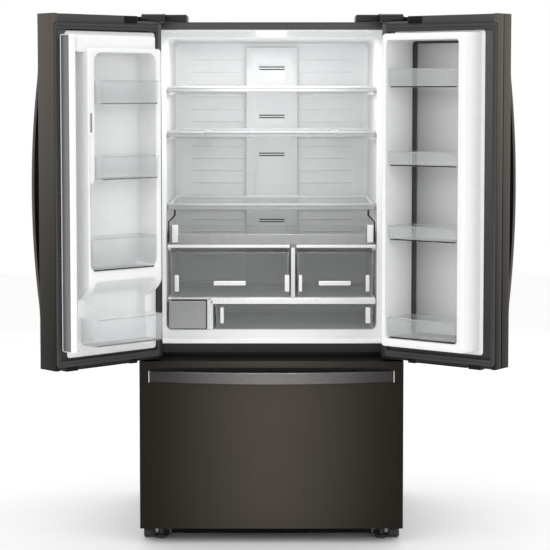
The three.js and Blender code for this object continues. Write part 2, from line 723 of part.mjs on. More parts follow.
function outerDoorPanel() {
  const skin = SHEET + FIT;
  const core = cut(
    slab(-1, inset([0, DOOR_WIDTH], skin), inset([0, OUTER_DOOR_THICKNESS], skin), inset(FULL_HEIGHT, skin)),
    ...outerNotches(skin),
    ...outerPinHoles(),
  );
  const w = [OUTER_DOOR_THICKNESS - 10, OUTER_DOOR_THICKNESS];
  return join(core, slab(-1, inset(OUTER_MOUTH.u, FIT), w, inset(OUTER_MOUTH.z, FIT)));
}

const OUTER_GASKET = { u: [60, 383], z: [697, 1728], width: 32 };

function outerDoorGasket() {
  const { u, z, width } = OUTER_GASKET;
  const w = [OUTER_DOOR_THICKNESS + SEAL_GAP, FRAME_START - SEAL_GAP];
  return cut(slab(-1, u, w, z), slab(-1, inset(u, width), grown(w, 1), inset(z, width)));
}

// ---- drawers in the fresh-food compartment ----
const DELI = { x: 355, back: 540, top: 1042, bracket: [330, 355], bracketBack: 110, bracketTop: 1070 };

function deliTray() {
  const z = [SHELVES.crisperCover[1] + FIT, DELI.top];
  const bracketY = [DRAWER_FRONT, DELI.bracketBack];
  const brackets = [1, -1].map((side) => (
    block(mirrored(side, DELI.bracket), bracketY, [z[0], DELI.bracketTop])
  ));
  return join(tray(both(DELI.x), [DRAWER_FRONT, DELI.back], z, BIN_WALL), ...brackets);
}

// A crisper with its pull bar across the front.
const CRISPERS = {
  left: { x: [-358, DIVIDER_X[0] - 2], bar: [-202, -90] },
  right: { x: [DIVIDER_X[1] + 2, 360], bar: [164, 276] },
};
const CRISPER = { back: 580, top: 978, barZ: [862, 880], barReach: 8 };

function crisper({ x, bar }) {
  const z = [SHELVES.pantryCover[1] + FIT, CRISPER.top];
  return join(
    tray(x, [DRAWER_FRONT, CRISPER.back], z, BIN_WALL),
    block(bar, [DRAWER_FRONT - CRISPER.barReach, DRAWER_FRONT + 1], CRISPER.barZ),
  );
}

const PANTRY = { x: [STRIP_X[1] + 3, 360], top: 794 };

function pantryDrawer() {
  return tray(PANTRY.x, [DRAWER_FRONT, CRISPER.back], [SHELF_ZONE.z[0] + FIT, PANTRY.top], BIN_WALL);
}

// ---- freezer drawer ----
const FREEZER_MOUTH = { x: 370, z: [100, 580] };
const FREEZER_SKIN_Y = [DOOR_FRONT, DOOR_FRONT + DOOR_THICKNESS];
const PANEL = { x: 345, back: -6, z: [125, 560] };

function freezerFront() {
  const back = FREEZER_SKIN_Y[1];
  return cut(
    block(both(DRAWER_HALF), FREEZER_SKIN_Y, DRAWER_Z),
    block(both(DRAWER_HALF - SHEET), inset(FREEZER_SKIN_Y, SHEET), inset(DRAWER_Z, SHEET)),
    block(both(FREEZER_MOUTH.x), [back - SHEET - 1, back + 1], FREEZER_MOUTH.z),
  );
}

function freezerInnerPanel() {
  const skin = SHEET + FIT;
  const back = FREEZER_SKIN_Y[1];
  return join(
    block(both(DRAWER_HALF - skin), inset(FREEZER_SKIN_Y, skin), inset(DRAWER_Z, skin)),
    block(both(FREEZER_MOUTH.x - FIT), [back - 10, back], inset(FREEZER_MOUTH.z, FIT)),
    block(both(PANEL.x), [back - 1, PANEL.back], PANEL.z),
  );
}

const DRAWER_SEAL = { x: 414, z: [72, 612], innerX: 392, innerZ: [92, 594] };

function freezerGasket() {
  const y = [FREEZER_SKIN_Y[1] + SEAL_GAP, -FIT];
  return cut(
    block(both(DRAWER_SEAL.x), y, DRAWER_SEAL.z),
    block(both(DRAWER_SEAL.innerX), grown(y, 1), DRAWER_SEAL.innerZ),
  );
}

const FREEZER_HANDLE = { half: 416, rise: 60, thickness: 14, z: [555, 595] };

function freezerHandle() {
  const { half, rise, thickness, z } = FREEZER_HANDLE;
  const outline = bowOutline(half, rise, thickness, 18).map(([along, out]) => [along, DOOR_FRONT - out]);
  return extrudeZ(outline, z);
}

// Three nested slide stages on each side, each pair tied together by a bar across the back.
function slideStage([near, far], height, [front, back], bar) {
  const z = [SLIDE_Z - height / 2, SLIDE_Z + height / 2];
  return join(
    block([near, far], [front, back], z),
    block([-far, -near], [front, back], z),
    block(both(far), [back - bar, back], z),
  );
}

const BACK_BAR = 10;
const STAGES = {
  rails: { x: [364.2, 375.6], height: 44, y: [20, 462] },
  slides: { x: [352, 363.6], height: 30, y: [15, 438] },
  frame: { x: [340, 351.4], height: 24, y: [PANEL.back + FIT, 420] },
};
const FRAME_PLATE = { near: 300, front: PANEL.back + FIT, back: -2, half: 50 };

const stage = ({ x, height, y }) => slideStage(x, height, y, BACK_BAR);

function freezerDrawerFrame() {
  const { near, front, back, half } = FRAME_PLATE;
  const plates = [1, -1].map((side) => (
    block(mirrored(side, [near, STAGES.frame.x[1]]), [front, back], grown([SLIDE_Z, SLIDE_Z], half))
  ));
  return join(stage(STAGES.frame), ...plates);
}

const LOWER_BASKET = { x: 336, lipX: 350, y: [0, 404], z: [118, 308] };
const UPPER_BASKET = { x: 368, y: [10, 600], top: 520 };

function freezerLowerBasket() {
  const { x, lipX, y, z } = LOWER_BASKET;
  const lip = [SLIDE_Z + STAGES.frame.height / 2 + FIT, z[1]];
  return cut(
    join(block(both(x), y, z), block(both(lipX), y, lip)),
    block(both(x - BIN_WALL), inset(y, BIN_WALL), [z[0] + BIN_WALL, z[1] + 1]),
  );
}

function freezerUpperBasket() {
  const { x, y, top } = UPPER_BASKET;
  return tray(both(x), y, [BASKET_LEDGE.z[1] + FIT, top], BIN_WALL);
}

// ---- assembly ----
const sides = [['left', -1], ['right', 1]];

function cabinet() {
  const group = new THREE.Group();
  group.add(
    part('outer_case', outerCase(), 'darkPaint'),
    part('rear_panel', rearPanel(), 'darkPaint'),
    part('front_frame', frontFrame(), 'darkPaint'),
    part('cabinet_foam', cabinetFoam(), 'foam'),
    part('fridge_liner', fridgeLiner(), 'liner'),
    part('freezer_liner', freezerLiner(), 'liner'),
    part('toe_grille', toeGrille(), 'darkPlastic'),
    part('air_duct_cover', airDuctCover(), 'liner'),
    part('ceiling_light', ceilingLight(), 'lamp'),
    part('top_shelf', glassShelf(both(SHELF_X), SHELVES.top), 'shelfTrim'),
    part('left_half_shelf', glassShelf([-SHELF_X, HALF_SHELVES[0] - 1], SHELVES.second), 'shelfTrim'),
    part('centre_shelf', glassShelf(inset(HALF_SHELVES, 1), SHELVES.second), 'shelfTrim'),
    part('right_half_shelf', glassShelf([HALF_SHELVES[1] + 1, SHELF_X], SHELVES.second), 'shelfTrim'),
    part('lower_shelf', glassShelf(both(SHELF_X), SHELVES.lower), 'shelfTrim'),
    part('crisper_cover', crisperCover(), 'shelfTrim'),
    part('pantry_cover', pantryCover(), 'shelfTrim'),
    part('filter_cover', filterCover(), 'greyPanel'),
    part('rear_rollers', rearRollers(), 'tyre'),
    part('compressor', compressor(), 'motor'),
    part('freezer_rails', stage(STAGES.rails), 'steel'),
    part('freezer_slides', stage(STAGES.slides), 'steel'),
  );
  for (const [name, side] of sides) {
    group.add(
      part(`top_hinge_${name}`, topHinge(side), 'steel'),
      part(`hinge_cover_${name}`, hingeCover(side), 'darkPlastic'),
      part(`centre_hinge_${name}`, centreHinge(side), 'steel'),
      part(`front_foot_${name}`, frontFoot(side), 'tyre'),
    );
  }
  return group;
}

function foodDrawers() {
  const group = new THREE.Group();
  group.add(
    part('deli_tray', deliTray(), 'clear'),
    part('crisper_left', crisper(CRISPERS.left), 'clear'),
    part('crisper_right', crisper(CRISPERS.right), 'clear'),
    part('pantry_drawer', pantryDrawer(), 'clear'),
  );
  return group;
}

function leftDoor() {
  const group = new THREE.Group();
  group.add(
    part('left_door_shell', leftDoorShell(), 'blackSteel'),
    part('left_door_liner', leftDoorLiner(), 'liner'),
    part('left_door_gasket', doorGasket(1), 'gasket'),
    part('left_door_handle', doorHandle(1), 'handle'),
    part('mullion_bar', mullionBar(), 'steel'),
  );
  LEFT_BINS.forEach(({ u, z }, index) => {
    group.add(part(`left_door_bin_${index + 1}`, doorBin(1, u, [BIN_BACK, BIN_REACH], z), 'clear'));
  });
  group.add(part('left_door_bin_4', lowestBin(), 'clear'));
  group.position.set(-HINGE_X, HINGE_Y, 0);
  group.rotation.z = -THREE.MathUtils.degToRad(LEFT_OPENING);
  return group;
}

function rightDoor() {
  const group = new THREE.Group();
  group.add(
    part('right_frame_shell', rightFrameShell(), 'blackSteel'),
    part('right_door_box', rightDoorBox(), 'liner'),
    part('right_door_gasket', doorGasket(-1), 'gasket'),
    part('outer_door_shell', outerDoorShell(), 'blackSteel'),
    part('outer_door_panel', outerDoorPanel(), 'greyPanel'),
    part('outer_door_gasket', outerDoorGasket(), 'gasket'),
    part('outer_door_handle', doorHandle(-1), 'handle'),
  );
  RIGHT_BINS.forEach((z, index) => {
    group.add(part(`right_door_bin_${index + 1}`, doorBin(-1, inset(BOX.openU, 1), RIGHT_BIN_W, z), 'clear'));
  });
  group.position.set(HINGE_X, HINGE_Y, 0);
  group.rotation.z = THREE.MathUtils.degToRad(RIGHT_OPENING);
  return group;
}

function freezerDrawer() {
  const group = new THREE.Group();
  group.add(
    part('freezer_front', freezerFront(), 'blackSteel'),
    part('freezer_inner_panel', freezerInnerPanel(), 'liner'),
    part('freezer_gasket', freezerGasket(), 'gasket'),
    part('freezer_handle', freezerHandle(), 'handle'),
    part('freezer_drawer_frame', freezerDrawerFrame(), 'steel'),
    part('freezer_lower_basket', freezerLowerBasket(), 'clear'),
    part('freezer_upper_basket', freezerUpperBasket(), 'clear'),
  );
  return group;
}

const refrigerator = new THREE.Group();
refrigerator.add(cabinet(), foodDrawers(), leftDoor(), rightDoor(), freezerDrawer());
refrigerator.position.set(-CENTRE_X, -CENTRE_Y, 0);

export default refrigerator;
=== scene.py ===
import json
from math import acos, cos, pi, radians, sin

import bmesh
import bpy
from mathutils import Matrix, Vector

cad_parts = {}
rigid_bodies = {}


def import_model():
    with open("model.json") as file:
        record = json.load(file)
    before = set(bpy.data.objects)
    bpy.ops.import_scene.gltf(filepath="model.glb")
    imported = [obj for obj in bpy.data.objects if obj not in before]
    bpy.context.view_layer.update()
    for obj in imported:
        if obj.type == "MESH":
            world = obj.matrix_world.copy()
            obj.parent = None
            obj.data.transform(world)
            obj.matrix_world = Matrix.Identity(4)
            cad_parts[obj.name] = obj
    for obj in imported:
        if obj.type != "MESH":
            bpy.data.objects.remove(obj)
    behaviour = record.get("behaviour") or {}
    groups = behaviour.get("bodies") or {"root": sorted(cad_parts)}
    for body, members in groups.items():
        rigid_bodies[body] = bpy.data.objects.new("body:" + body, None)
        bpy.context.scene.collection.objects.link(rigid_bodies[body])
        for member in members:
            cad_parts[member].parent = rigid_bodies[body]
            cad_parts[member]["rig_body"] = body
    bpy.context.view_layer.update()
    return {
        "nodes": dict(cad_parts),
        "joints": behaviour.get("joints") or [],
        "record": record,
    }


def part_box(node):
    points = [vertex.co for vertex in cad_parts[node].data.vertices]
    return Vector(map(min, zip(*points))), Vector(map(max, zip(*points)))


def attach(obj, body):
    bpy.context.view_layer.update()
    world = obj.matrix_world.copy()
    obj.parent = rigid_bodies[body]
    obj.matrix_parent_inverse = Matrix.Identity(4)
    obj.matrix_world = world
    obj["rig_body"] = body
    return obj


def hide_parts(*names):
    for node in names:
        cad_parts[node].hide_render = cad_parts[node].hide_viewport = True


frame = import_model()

# Shapes are written in millimetres. Cabinet space: x from the centreline, y from the cabinet's front plane,
# z from the floor. Door space: u from the hinge-side edge, w from the outer face, z from the floor.
MM = 0.001
JOINTS = {joint["name"]: joint for joint in frame["joints"]}
case_low, case_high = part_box("outer_case")
centre_x = (case_low.x + case_high.x) / 2
CABINET = Matrix.Translation((centre_x, case_low.y, 0)) @ Matrix.Diagonal((MM, MM, MM, 1))
# The doors' hinge axis in door space.
HINGE_U, HINGE_W = 28, 45
# The top of a door's notched corner, and the underside of the hinge cover's nose above it.
CORNER_Z, NOSE_BOTTOM = 1765, 1769


def door_space(joint_name, side):
    """Millimetres in door space to metres in the row frame, for a door that stands fully open at rest."""
    joint = JOINTS[joint_name]
    x, y, _ = joint["pos_m"]
    turn = Matrix.Rotation(side * radians(joint["range_deg"][0]), 4, "Z")
    scale = Matrix.Diagonal((side * MM, MM, MM, 1))
    return Matrix.Translation((x, y, 0)) @ turn @ scale @ Matrix.Translation((-HINGE_U, -HINGE_W, 0))


LEFT = door_space("left_door_hinge", 1)
RIGHT = door_space("right_door_hinge", -1)

# The space that each body's shapes are written in. Every other body is in cabinet space.
SPACES = {"left_door": LEFT, "mullion": LEFT, "right_door": RIGHT, "outer_door": RIGHT}
SHARP_ANGLE = 32


# ---- shapes ----
def inset(span, by):
    return span[0] + by, span[1] - by


def both(x):
    return -x, x


def mirrored(side, span):
    """A span of x on the right, or its mirror image on the left where side is -1."""
    return sorted(side * x for x in span)


def rounded(a, b, radius, steps=5, stations=()):
    """A rectangle with round corners, anticlockwise. stations adds points along its two upright sides."""
    (a0, a1), (b0, b1) = a, b
    top = b1 - radius - 0.2
    upright = [min(s, top - 0.2 * (len(stations) - i)) for i, s in enumerate(sorted(stations))]
    corners = (
        (a1 - radius, b0 + radius, -90, [(a1, s) for s in upright]),
        (a1 - radius, b1 - radius, 0, []),
        (a0 + radius, b1 - radius, 90, [(a0, s) for s in reversed(upright)]),
        (a0 + radius, b0 + radius, 180, []),
    )
    points = []
    for ca, cb, start, side in corners:
        for step in range(steps + 1):
            angle = radians(start + 90 * step / steps)
            points.append((ca + radius * cos(angle), cb + radius * sin(angle)))
        points.extend(side)
    return points


def upright_ring(x, y, z, radius, **more):
    return [(a, y, b) for a, b in rounded(x, z, radius, **more)]


def level_ring(x, y, z, radius):
    return [(a, b, z) for a, b in rounded(x, y, radius)]


class Shape:
    """Closed solids in millimetres that make one piece."""

    def __init__(self):
        self.bm = bmesh.new()

    def block(self, x, y, z, bevel=1.0, segments=2):
        verts = [self.bm.verts.new((a, b, c)) for c in z for b in y for a in x]
        sides = ((0, 2, 3, 1), (4, 5, 7, 6), (0, 1, 5, 4), (2, 6, 7, 3), (0, 4, 6, 2), (1, 3, 7, 5))
        faces = [self.bm.faces.new([verts[i] for i in side]) for side in sides]
        if bevel:
            edges = list(dict.fromkeys(edge for face in faces for edge in face.edges))
            bmesh.ops.bevel(self.bm, geom=edges, offset=bevel, segments=segments, affect="EDGES", profile=0.5)
        return self

    def loft(self, rings, first=True, last=True):
        loops = [[self.bm.verts.new(point) for point in ring] for ring in rings]
        count = len(loops[0])
        for low, high in zip(loops, loops[1:]):
            for i in range(count):
                j = (i + 1) % count
                self.bm.faces.new((low[i], low[j], high[j], high[i]))
        if first:
            self.bm.faces.new(list(reversed(loops[0])))
        if last:
            self.bm.faces.new(loops[-1])
        return loops

    def hoop(self, rings):
        """A loft that runs round and back onto its first ring, so it is open in the middle."""
        self.loft([*rings, rings[0]], first=False, last=False)
        bmesh.ops.remove_doubles(self.bm, verts=self.bm.verts, dist=1e-4)
        return self

    def prism(self, outline, z):
        """An outline of (x, y) points carried along Z."""
        self.loft([[(a, b, level) for a, b in outline] for level in z])
        return self

    def prism_x(self, outline, x):
        """An outline of (y, z) points carried along X."""
        self.loft([[(level, a, b) for a, b in outline] for level in x])
        return self

    def rod(self, radius, centre, z, bevel=0.8, sides=24):
        circle = [(cos(2 * pi * i / sides), sin(2 * pi * i / sides)) for i in range(sides)]
        end = radius - bevel
        sizes = ((end, z[0]), (radius, z[0] + bevel), (radius, z[1] - bevel), (end, z[1]))
        self.loft([[(centre[0] + r * a, centre[1] + r * b, level) for a, b in circle] for r, level in sizes])
        return self

    def tray(self, x, y, z, wall, radius, taper, lip, foot=3.0):
        """An open-topped moulded tub: rounded corners, a little draft, and a lip around the rim."""
        low, high = z
        base = lip + taper
        sections = (
            (base + foot, low),
            (base + 0.3 * foot, low + 0.3 * foot),
            (base, low + foot),
            (lip, high - 6),
            (0, high - 5),
            (0, high - 0.8),
            (0.8, high),
            (lip + wall - 0.8, high),
            (lip + wall, high - 0.8),
            (base + wall, low + wall + foot),
            (base + wall + 0.3 * foot, low + wall + 0.3 * foot),
            (base + wall + foot, low + wall),
        )
        rings = []
        for by, level in sections:
            rings.append(level_ring(inset(x, by), inset(y, by), level, max(radius - by, 2)))
        self.loft(rings)
        return self

    def warp(self, move):
        for vertex in self.bm.verts:
            vertex.co = move(*vertex.co)
        return self

    def piece(self, name, body, look, replaces=(), sharp=SHARP_ANGLE):
        """Moves the shape into the row frame and makes it a piece of the model."""
        bm = self.bm
        bm.transform(SPACES.get(body, CABINET))
        bmesh.ops.recalc_face_normals(bm, faces=bm.faces)
        shade(bm, sharp)
        mesh = bpy.data.meshes.new(name)
        bm.to_mesh(mesh)
        bm.free()
        place(new_object(name, mesh), body, look, replaces)


def shade(bm, sharp):
    """Smooth faces, with a hard edge where two of them meet at more than sharp degrees."""
    for face in bm.faces:
        face.smooth = True
    for edge in bm.edges:
        edge.smooth = len(edge.link_faces) == 2 and edge.calc_face_angle(0) < radians(sharp)


def new_object(name, data):
    obj = bpy.data.objects.new(name, data)
    bpy.context.scene.collection.objects.link(obj)
    return obj


def place(obj, body, look, replaces):
    set_look(obj, look)
    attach(obj, body)
    if replaces:
        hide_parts(*replaces)


def set_look(obj, look):
    obj.data.materials.clear()
    obj.data.materials.append(LOOKS[look]["material"])


# ---- materials ----
ROUGHNESS_SPREAD = 0.15
SHADER_SOCKETS = {
    "coat": "Coat Weight",
    "coat_roughness": "Coat Roughness",
    "emission": "Emission Strength",
    "specular": "Specular IOR Level",
}


def add_node(nodes, kind, settings):
    """A shader node with some of its input sockets set."""
    node = nodes.new("ShaderNode" + kind)
    for socket, value in settings.items():
        node.inputs[socket].default_value = value
    return node


def finish(
    name, slot, colour, roughness, metallic, grain, contrast, bump=0.0, painted_shading=None, clear=None, **extra,
):
    """A node material. grain is the noise scale along x, y and z per metre; contrast is how far it varies the
    colour; the painted shading, given as (axis, centre, reach, edge), paints light and shade into the colour
    along one axis; clear is (facing, edge-on) opacity."""
    material = bpy.data.materials.new(name)
    material.use_nodes = True
    nodes, links = material.node_tree.nodes, material.node_tree.links
    shader = nodes["Principled BSDF"]
    shader.inputs["Metallic"].default_value = metallic
    for key, value in extra.items():
        shader.inputs[SHADER_SOCKETS[key]].default_value = value
    if "emission" in extra:
        shader.inputs["Emission Color"].default_value = (*colour, 1)
    position = add_node(nodes, "TexCoord", {}).outputs["Object"]
    scaled = add_node(nodes, "Mapping", {"Scale": grain})
    links.new(position, scaled.inputs["Vector"])
    noise = add_node(nodes, "TexNoise", {"Scale": 1.0, "Detail": 4.0})
    links.new(scaled.outputs["Vector"], noise.inputs["Vector"])
    ramp = nodes.new("ShaderNodeValToRGB")
    low, high = ramp.color_ramp.elements
    low.position, high.position = 0.3, 0.7
    low.color = (*[c * (1 - contrast) for c in colour], 1)
    high.color = (*[min(c * (1 + contrast), 1) for c in colour], 1)
    links.new(noise.outputs["Fac"], ramp.inputs["Fac"])
    tint = ramp.outputs["Color"]
    if painted_shading:
        tint = paint_shading(nodes, links, position, tint, *painted_shading)
    links.new(tint, shader.inputs["Base Color"])
    smoothest, roughest = roughness * (1 - ROUGHNESS_SPREAD), roughness * (1 + ROUGHNESS_SPREAD)
    rough = add_node(nodes, "MapRange", {"To Min": smoothest, "To Max": roughest})
    links.new(noise.outputs["Fac"], rough.inputs["Value"])
    links.new(rough.outputs["Result"], shader.inputs["Roughness"])
    if bump:
        relief = add_node(nodes, "Bump", {"Strength": 1.0, "Distance": bump * MM})
        links.new(noise.outputs["Fac"], relief.inputs["Height"])
        links.new(relief.outputs["Normal"], shader.inputs["Normal"])
    if clear:
        facing = add_node(nodes, "LayerWeight", {"Blend": 0.35})
        opacity = add_node(nodes, "MapRange", {"To Min": clear[0], "To Max": clear[1]})
        links.new(facing.outputs["Facing"], opacity.inputs["Value"])
        links.new(opacity.outputs["Result"], shader.inputs["Alpha"])
    return {"material": material, "slot": slot}


def paint_shading(nodes, links, position, tint, axis, centre, reach, edge):
    """Paints light and shade into a tint: multiplies it by 1 at centre and by edge at the distance reach from
    it, along one axis.
    """
    parts = add_node(nodes, "SeparateXYZ", {})
    links.new(position, parts.inputs["Vector"])
    away = add_node(nodes, "Math", {1: centre})
    away.operation = "SUBTRACT"
    links.new(parts.outputs[axis], away.inputs[0])
    size = add_node(nodes, "Math", {})
    size.operation = "ABSOLUTE"
    links.new(away.outputs["Value"], size.inputs[0])
    fade = add_node(nodes, "MapRange", {"From Max": reach, "To Min": 1.0, "To Max": edge})
    fade.interpolation_type = "SMOOTHSTEP"
    links.new(size.outputs["Value"], fade.inputs["Value"])
    shaded = add_node(nodes, "VectorMath", {})
    shaded.operation = "SCALE"
    links.new(tint, shaded.inputs[0])
    links.new(fade.outputs["Result"], shaded.inputs["Scale"])
    return shaded.outputs["Vector"]


BRUSH = (420, 420, 2.5)
CROSS_BRUSH = (3, 420, 420)
LOOKS = {
    # Painted shade: the door steel is brightest at the top of the doors and darker towards the bottom.
    "door_steel": finish(
        "door_steel", "black_steel", (0.106, 0.094, 0.079), 0.36, 1.0, BRUSH, 0.07, 0.01,
        painted_shading=("Z", 1.79, 1.2, 0.22),
    ),
    # Painted sheen: the drawer steel is brightest at the drawer's middle and darker towards its ends.
    "drawer_steel": finish(
        "drawer_steel", "black_steel", (0.071, 0.062, 0.051), 0.36, 1.0, BRUSH, 0.06, 0.01,
        painted_shading=("X", centre_x, 0.47, 0.28),
    ),
    # Painted shade: the border paint is darker towards the bottom.
    "border": finish(
        "border_paint", "dark_paint", (0.085, 0.085, 0.086), 0.5, 0.2, (260, 260, 260), 0.1, 0.05,
        painted_shading=("Z", 1.78, 1.15, 0.24),
    ),
    "case": finish("case_paint", "dark_paint", (0.075, 0.077, 0.08), 0.55, 0.15, (520, 520, 520), 0.16, 0.12),
    # Painted shade: the front frame's paint is darker towards the bottom, darkest at the middle rail.
    "flange": finish(
        "flange_paint", "dark_paint", (0.055, 0.056, 0.058), 0.45, 0.2, (300, 300, 300), 0.1, 0.04,
        painted_shading=("Z", 1.75, 1.1, 0.14),
    ),
    "cover": finish(
        "cover_plastic", "dark_plastic", (0.015, 0.015, 0.016), 0.4, 0.0, (400, 400, 400), 0.12, 0.04,
        specular=0.3,
    ),
    # Painted shade: the cap plastic is darker towards the bottom, so the lower caps are darker than the top
    # ones.
    "cap": finish(
        "cap_plastic", "dark_plastic", (0.05, 0.05, 0.052), 0.5, 0.0, (400, 400, 400), 0.12, 0.05,
        painted_shading=("Z", 1.78, 1.15, 0.2), specular=0.3,
    ),
    "black": finish(
        "black_plastic", "dark_plastic", (0.007, 0.007, 0.0075), 0.5, 0.0, (300, 300, 300), 0.15, 0.04,
        specular=0.12,
    ),
    "hinge": finish(
        "hinge_steel_black", "steel", (0.02, 0.02, 0.021), 0.45, 0.6, (300, 300, 300), 0.1, 0.02,
        specular=0.3,
    ),
    "handle": finish("handle_brushed", "handle_metal", (0.10, 0.09, 0.082), 0.3, 1.0, BRUSH, 0.12, 0.01),
    # Painted highlight: the drawer handle is brightest at its middle and darker towards its ends.
    "drawer_handle": finish(
        "drawer_handle_brushed", "handle_metal", (0.2, 0.19, 0.188), 0.3, 1.0, CROSS_BRUSH, 0.12, 0.01,
        painted_shading=("X", centre_x, 0.42, 0.22),
    ),
    "chrome": finish("handle_end_chrome", "handle_metal", (0.8, 0.8, 0.79), 0.12, 1.0, (90, 90, 90), 0.04),
    "liner": finish("liner_white", "white_liner", (0.86, 0.865, 0.87), 0.32, 0.0, (35, 35, 35), 0.015, 0.03),
    "white_trim": finish(
        "trim_white", "white_liner", (0.88, 0.885, 0.89), 0.28, 0.0, (120, 120, 120), 0.02, 0.02,
    ),
    "clear": finish(
        "clear_bin", "clear_plastic", (0.84, 0.86, 0.87), 0.1, 0.0, (25, 25, 25), 0.04,
        clear=(0.07, 0.62), coat=0.5, coat_roughness=0.05,
    ),
    "smoke": finish(
        "clear_floor", "clear_plastic", (0.20, 0.21, 0.22), 0.12, 0.0, (25, 25, 25), 0.05,
        clear=(0.3, 0.9), coat=0.5, coat_roughness=0.05,
    ),
    "smoke_edge": finish(
        "bin_floor_edge", "clear_plastic", (0.16, 0.165, 0.17), 0.3, 0.0, (60, 60, 60), 0.05,
        clear=(0.7, 0.9),
    ),
    "silver": finish("shelf_lip_band", "clear_plastic", (0.62, 0.63, 0.64), 0.3, 0.35, (300, 40, 40), 0.05),
    "divider": finish("divider_plastic", "clear_plastic", (0.74, 0.745, 0.755), 0.3, 0.0, (60, 60, 60), 0.03),
    "frost": finish(
        "frosted_trim", "clear_plastic", (0.46, 0.465, 0.475), 0.22, 0.0, (60, 60, 60), 0.05,
        clear=(0.72, 0.95),
    ),
    "glass": finish(
        "shelf_pane", "shelf_glass", (0.74, 0.78, 0.77), 0.04, 0.0, (12, 12, 12), 0.03,
        clear=(0.06, 0.5), coat=1.0, coat_roughness=0.02,
    ),
    "gasket": finish("gasket_rubber", "gasket", (0.032, 0.032, 0.033), 0.6, 0.0, (500, 500, 500), 0.12, 0.05),
    "steel": finish("plain_steel", "steel", (0.40, 0.40, 0.41), 0.34, 1.0, (500, 500, 12), 0.14, 0.02),
    "strip": finish("mullion_strip", "steel", (0.20, 0.20, 0.205), 0.42, 0.6, BRUSH, 0.1, 0.01),
    "grey": finish("grey_panel", "grey_panel", (0.34, 0.345, 0.35), 0.42, 0.0, (200, 200, 200), 0.05, 0.03),
    "bracket": finish(
        "tray_bracket", "grey_panel", (0.25, 0.255, 0.26), 0.4, 0.1, (200, 200, 200), 0.08, 0.02,
    ),
    # Painted light: the outer door's inner panel is brightest at x 0.67 m and darker away from it.
    "inner_grey": finish(
        "outer_door_inner", "grey_panel", (0.74, 0.745, 0.75), 0.3, 0.0, (180, 180, 180), 0.04, 0.02,
        painted_shading=("X", 0.67, 0.26, 0.3),
    ),
    "foam": finish("rigid_foam", "foam", (0.75, 0.66, 0.40), 0.9, 0.0, (300, 300, 300), 0.2, 0.4),
    "motor": finish("motor_paint", "motor_paint", (0.02, 0.02, 0.022), 0.35, 0.2, (150, 150, 150), 0.2, 0.05),
    "wheel": finish("wheel_plastic", "wheel", (0.028, 0.028, 0.029), 0.5, 0.0, (500, 500, 500), 0.2, 0.05),
    "lamp": finish(
        "lamp_lens", "lamp_lens", (0.95, 0.95, 0.92), 0.3, 0.0, (300, 300, 300), 0.03, 0.05, emission=1.2,
    ),
}


def softened(node, look, width):
    """A CAD node's own shape with its edges rounded over by a bevel of that many millimetres."""
    source = frame["nodes"][node]
    obj = new_object(node + "_finished", source.data.copy())
    bm = bmesh.new()
    bm.from_mesh(obj.data)
    bmesh.ops.remove_doubles(bm, verts=bm.verts, dist=1e-6)
    bmesh.ops.dissolve_limit(bm, angle_limit=radians(1), verts=bm.verts, edges=bm.edges)
    bm.to_mesh(obj.data)
    bm.free()
    place(obj, source["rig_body"], look, (node,))
    bevel = obj.modifiers.new("edges", "BEVEL")
    bevel.width = width * MM
    bevel.segments = 2
    bevel.limit_method = "ANGLE"
    bevel.angle_limit = radians(30)
    depsgraph = bpy.context.evaluated_depsgraph_get()
    obj.data = bpy.data.meshes.new_from_object(obj.evaluated_get(depsgraph))
    obj.modifiers.clear()
    bm = bmesh.new()
    bm.from_mesh(obj.data)
    shade(bm, SHARP_ANGLE)
    bm.to_mesh(obj.data)
    bm.free()


# ---- cabinet ----
FRONT_X, SHELF_ZONE_X = 388, 366
FRONT_Z, SHELF_ZONE_Z = (676.4, 1742.6), (708, 1722)
FRONT_DEPTH, CAVITY_DEPTH = 105, 636
SHELF_X, SHELF_FRONT, SHELF_BACK = 362, 118, 600
DRAWER_FRONT, DRAWER_BACK = 98, 580
LEVELS = {
    "top_shelf": (1536, 1556),
    "second": (1379, 1401),
    "lower_shelf": (1126, 1149),
    "crisper_cover": (994, 1005),
    "pantry_cover": (812, 820),
}


def fridge_cavity():
    """The white liner: a flange round the opening, a wide front zone for the doors, and the shelf space."""
    shape = Shape()
    flange = inset(FRONT_Z, -3.6)
    sections = (
        (both(FRONT_X + 3.6), flange, 12, 3),
        (both(FRONT_X + 3.6), flange, 12, 0.6),
        (both(FRONT_X + 2.6), inset(flange, 1), 12, 0),
        (both(FRONT_X + 1.5), inset(flange, 2), 13, 0),
        (both(FRONT_X), FRONT_Z, 14, 2),
        (both(FRONT_X), FRONT_Z, 14, FRONT_DEPTH - 6),
        (both(FRONT_X - 1.8), inset(FRONT_Z, 1.8), 14, FRONT_DEPTH - 1.8),
        (both(FRONT_X - 6), inset(FRONT_Z, 6), 14, FRONT_DEPTH),
        (both(SHELF_ZONE_X + 5), (704, 1727), 16, FRONT_DEPTH),
        (both(SHELF_ZONE_X + 1.4), (706.6, 1723.4), 16, FRONT_DEPTH + 1.5),
        (both(SHELF_ZONE_X), SHELF_ZONE_Z, 18, FRONT_DEPTH + 5),
        (both(SHELF_ZONE_X), SHELF_ZONE_Z, 18, CAVITY_DEPTH - 26),
        (both(SHELF_ZONE_X - 7), inset(SHELF_ZONE_Z, 7), 20, CAVITY_DEPTH - 8),
        (both(SHELF_ZONE_X - 26), inset(SHELF_ZONE_Z, 26), 20, CAVITY_DEPTH),
    )
    shape.loft([upright_ring(x, y, z, r) for x, z, r, y in sections], first=False)
    for bottom, _ in LEVELS.values():
        for side in (1, -1):
            x = mirrored(side, (SHELF_ZONE_X - 14, SHELF_ZONE_X + 2))
            shape.block(x, (140, 560), (bottom - 12.4, bottom - 0.4), 3, 3)
    for z in range(780, 1700, 46):
        for x in ((-300, -104), (104, 300)):
            shape.block(x, (CAVITY_DEPTH - 2.5, CAVITY_DEPTH + 1), (z, z + 3), 1)
    shape.piece("fridge_cavity", "cabinet", "liner", ("fridge_liner",), 40)


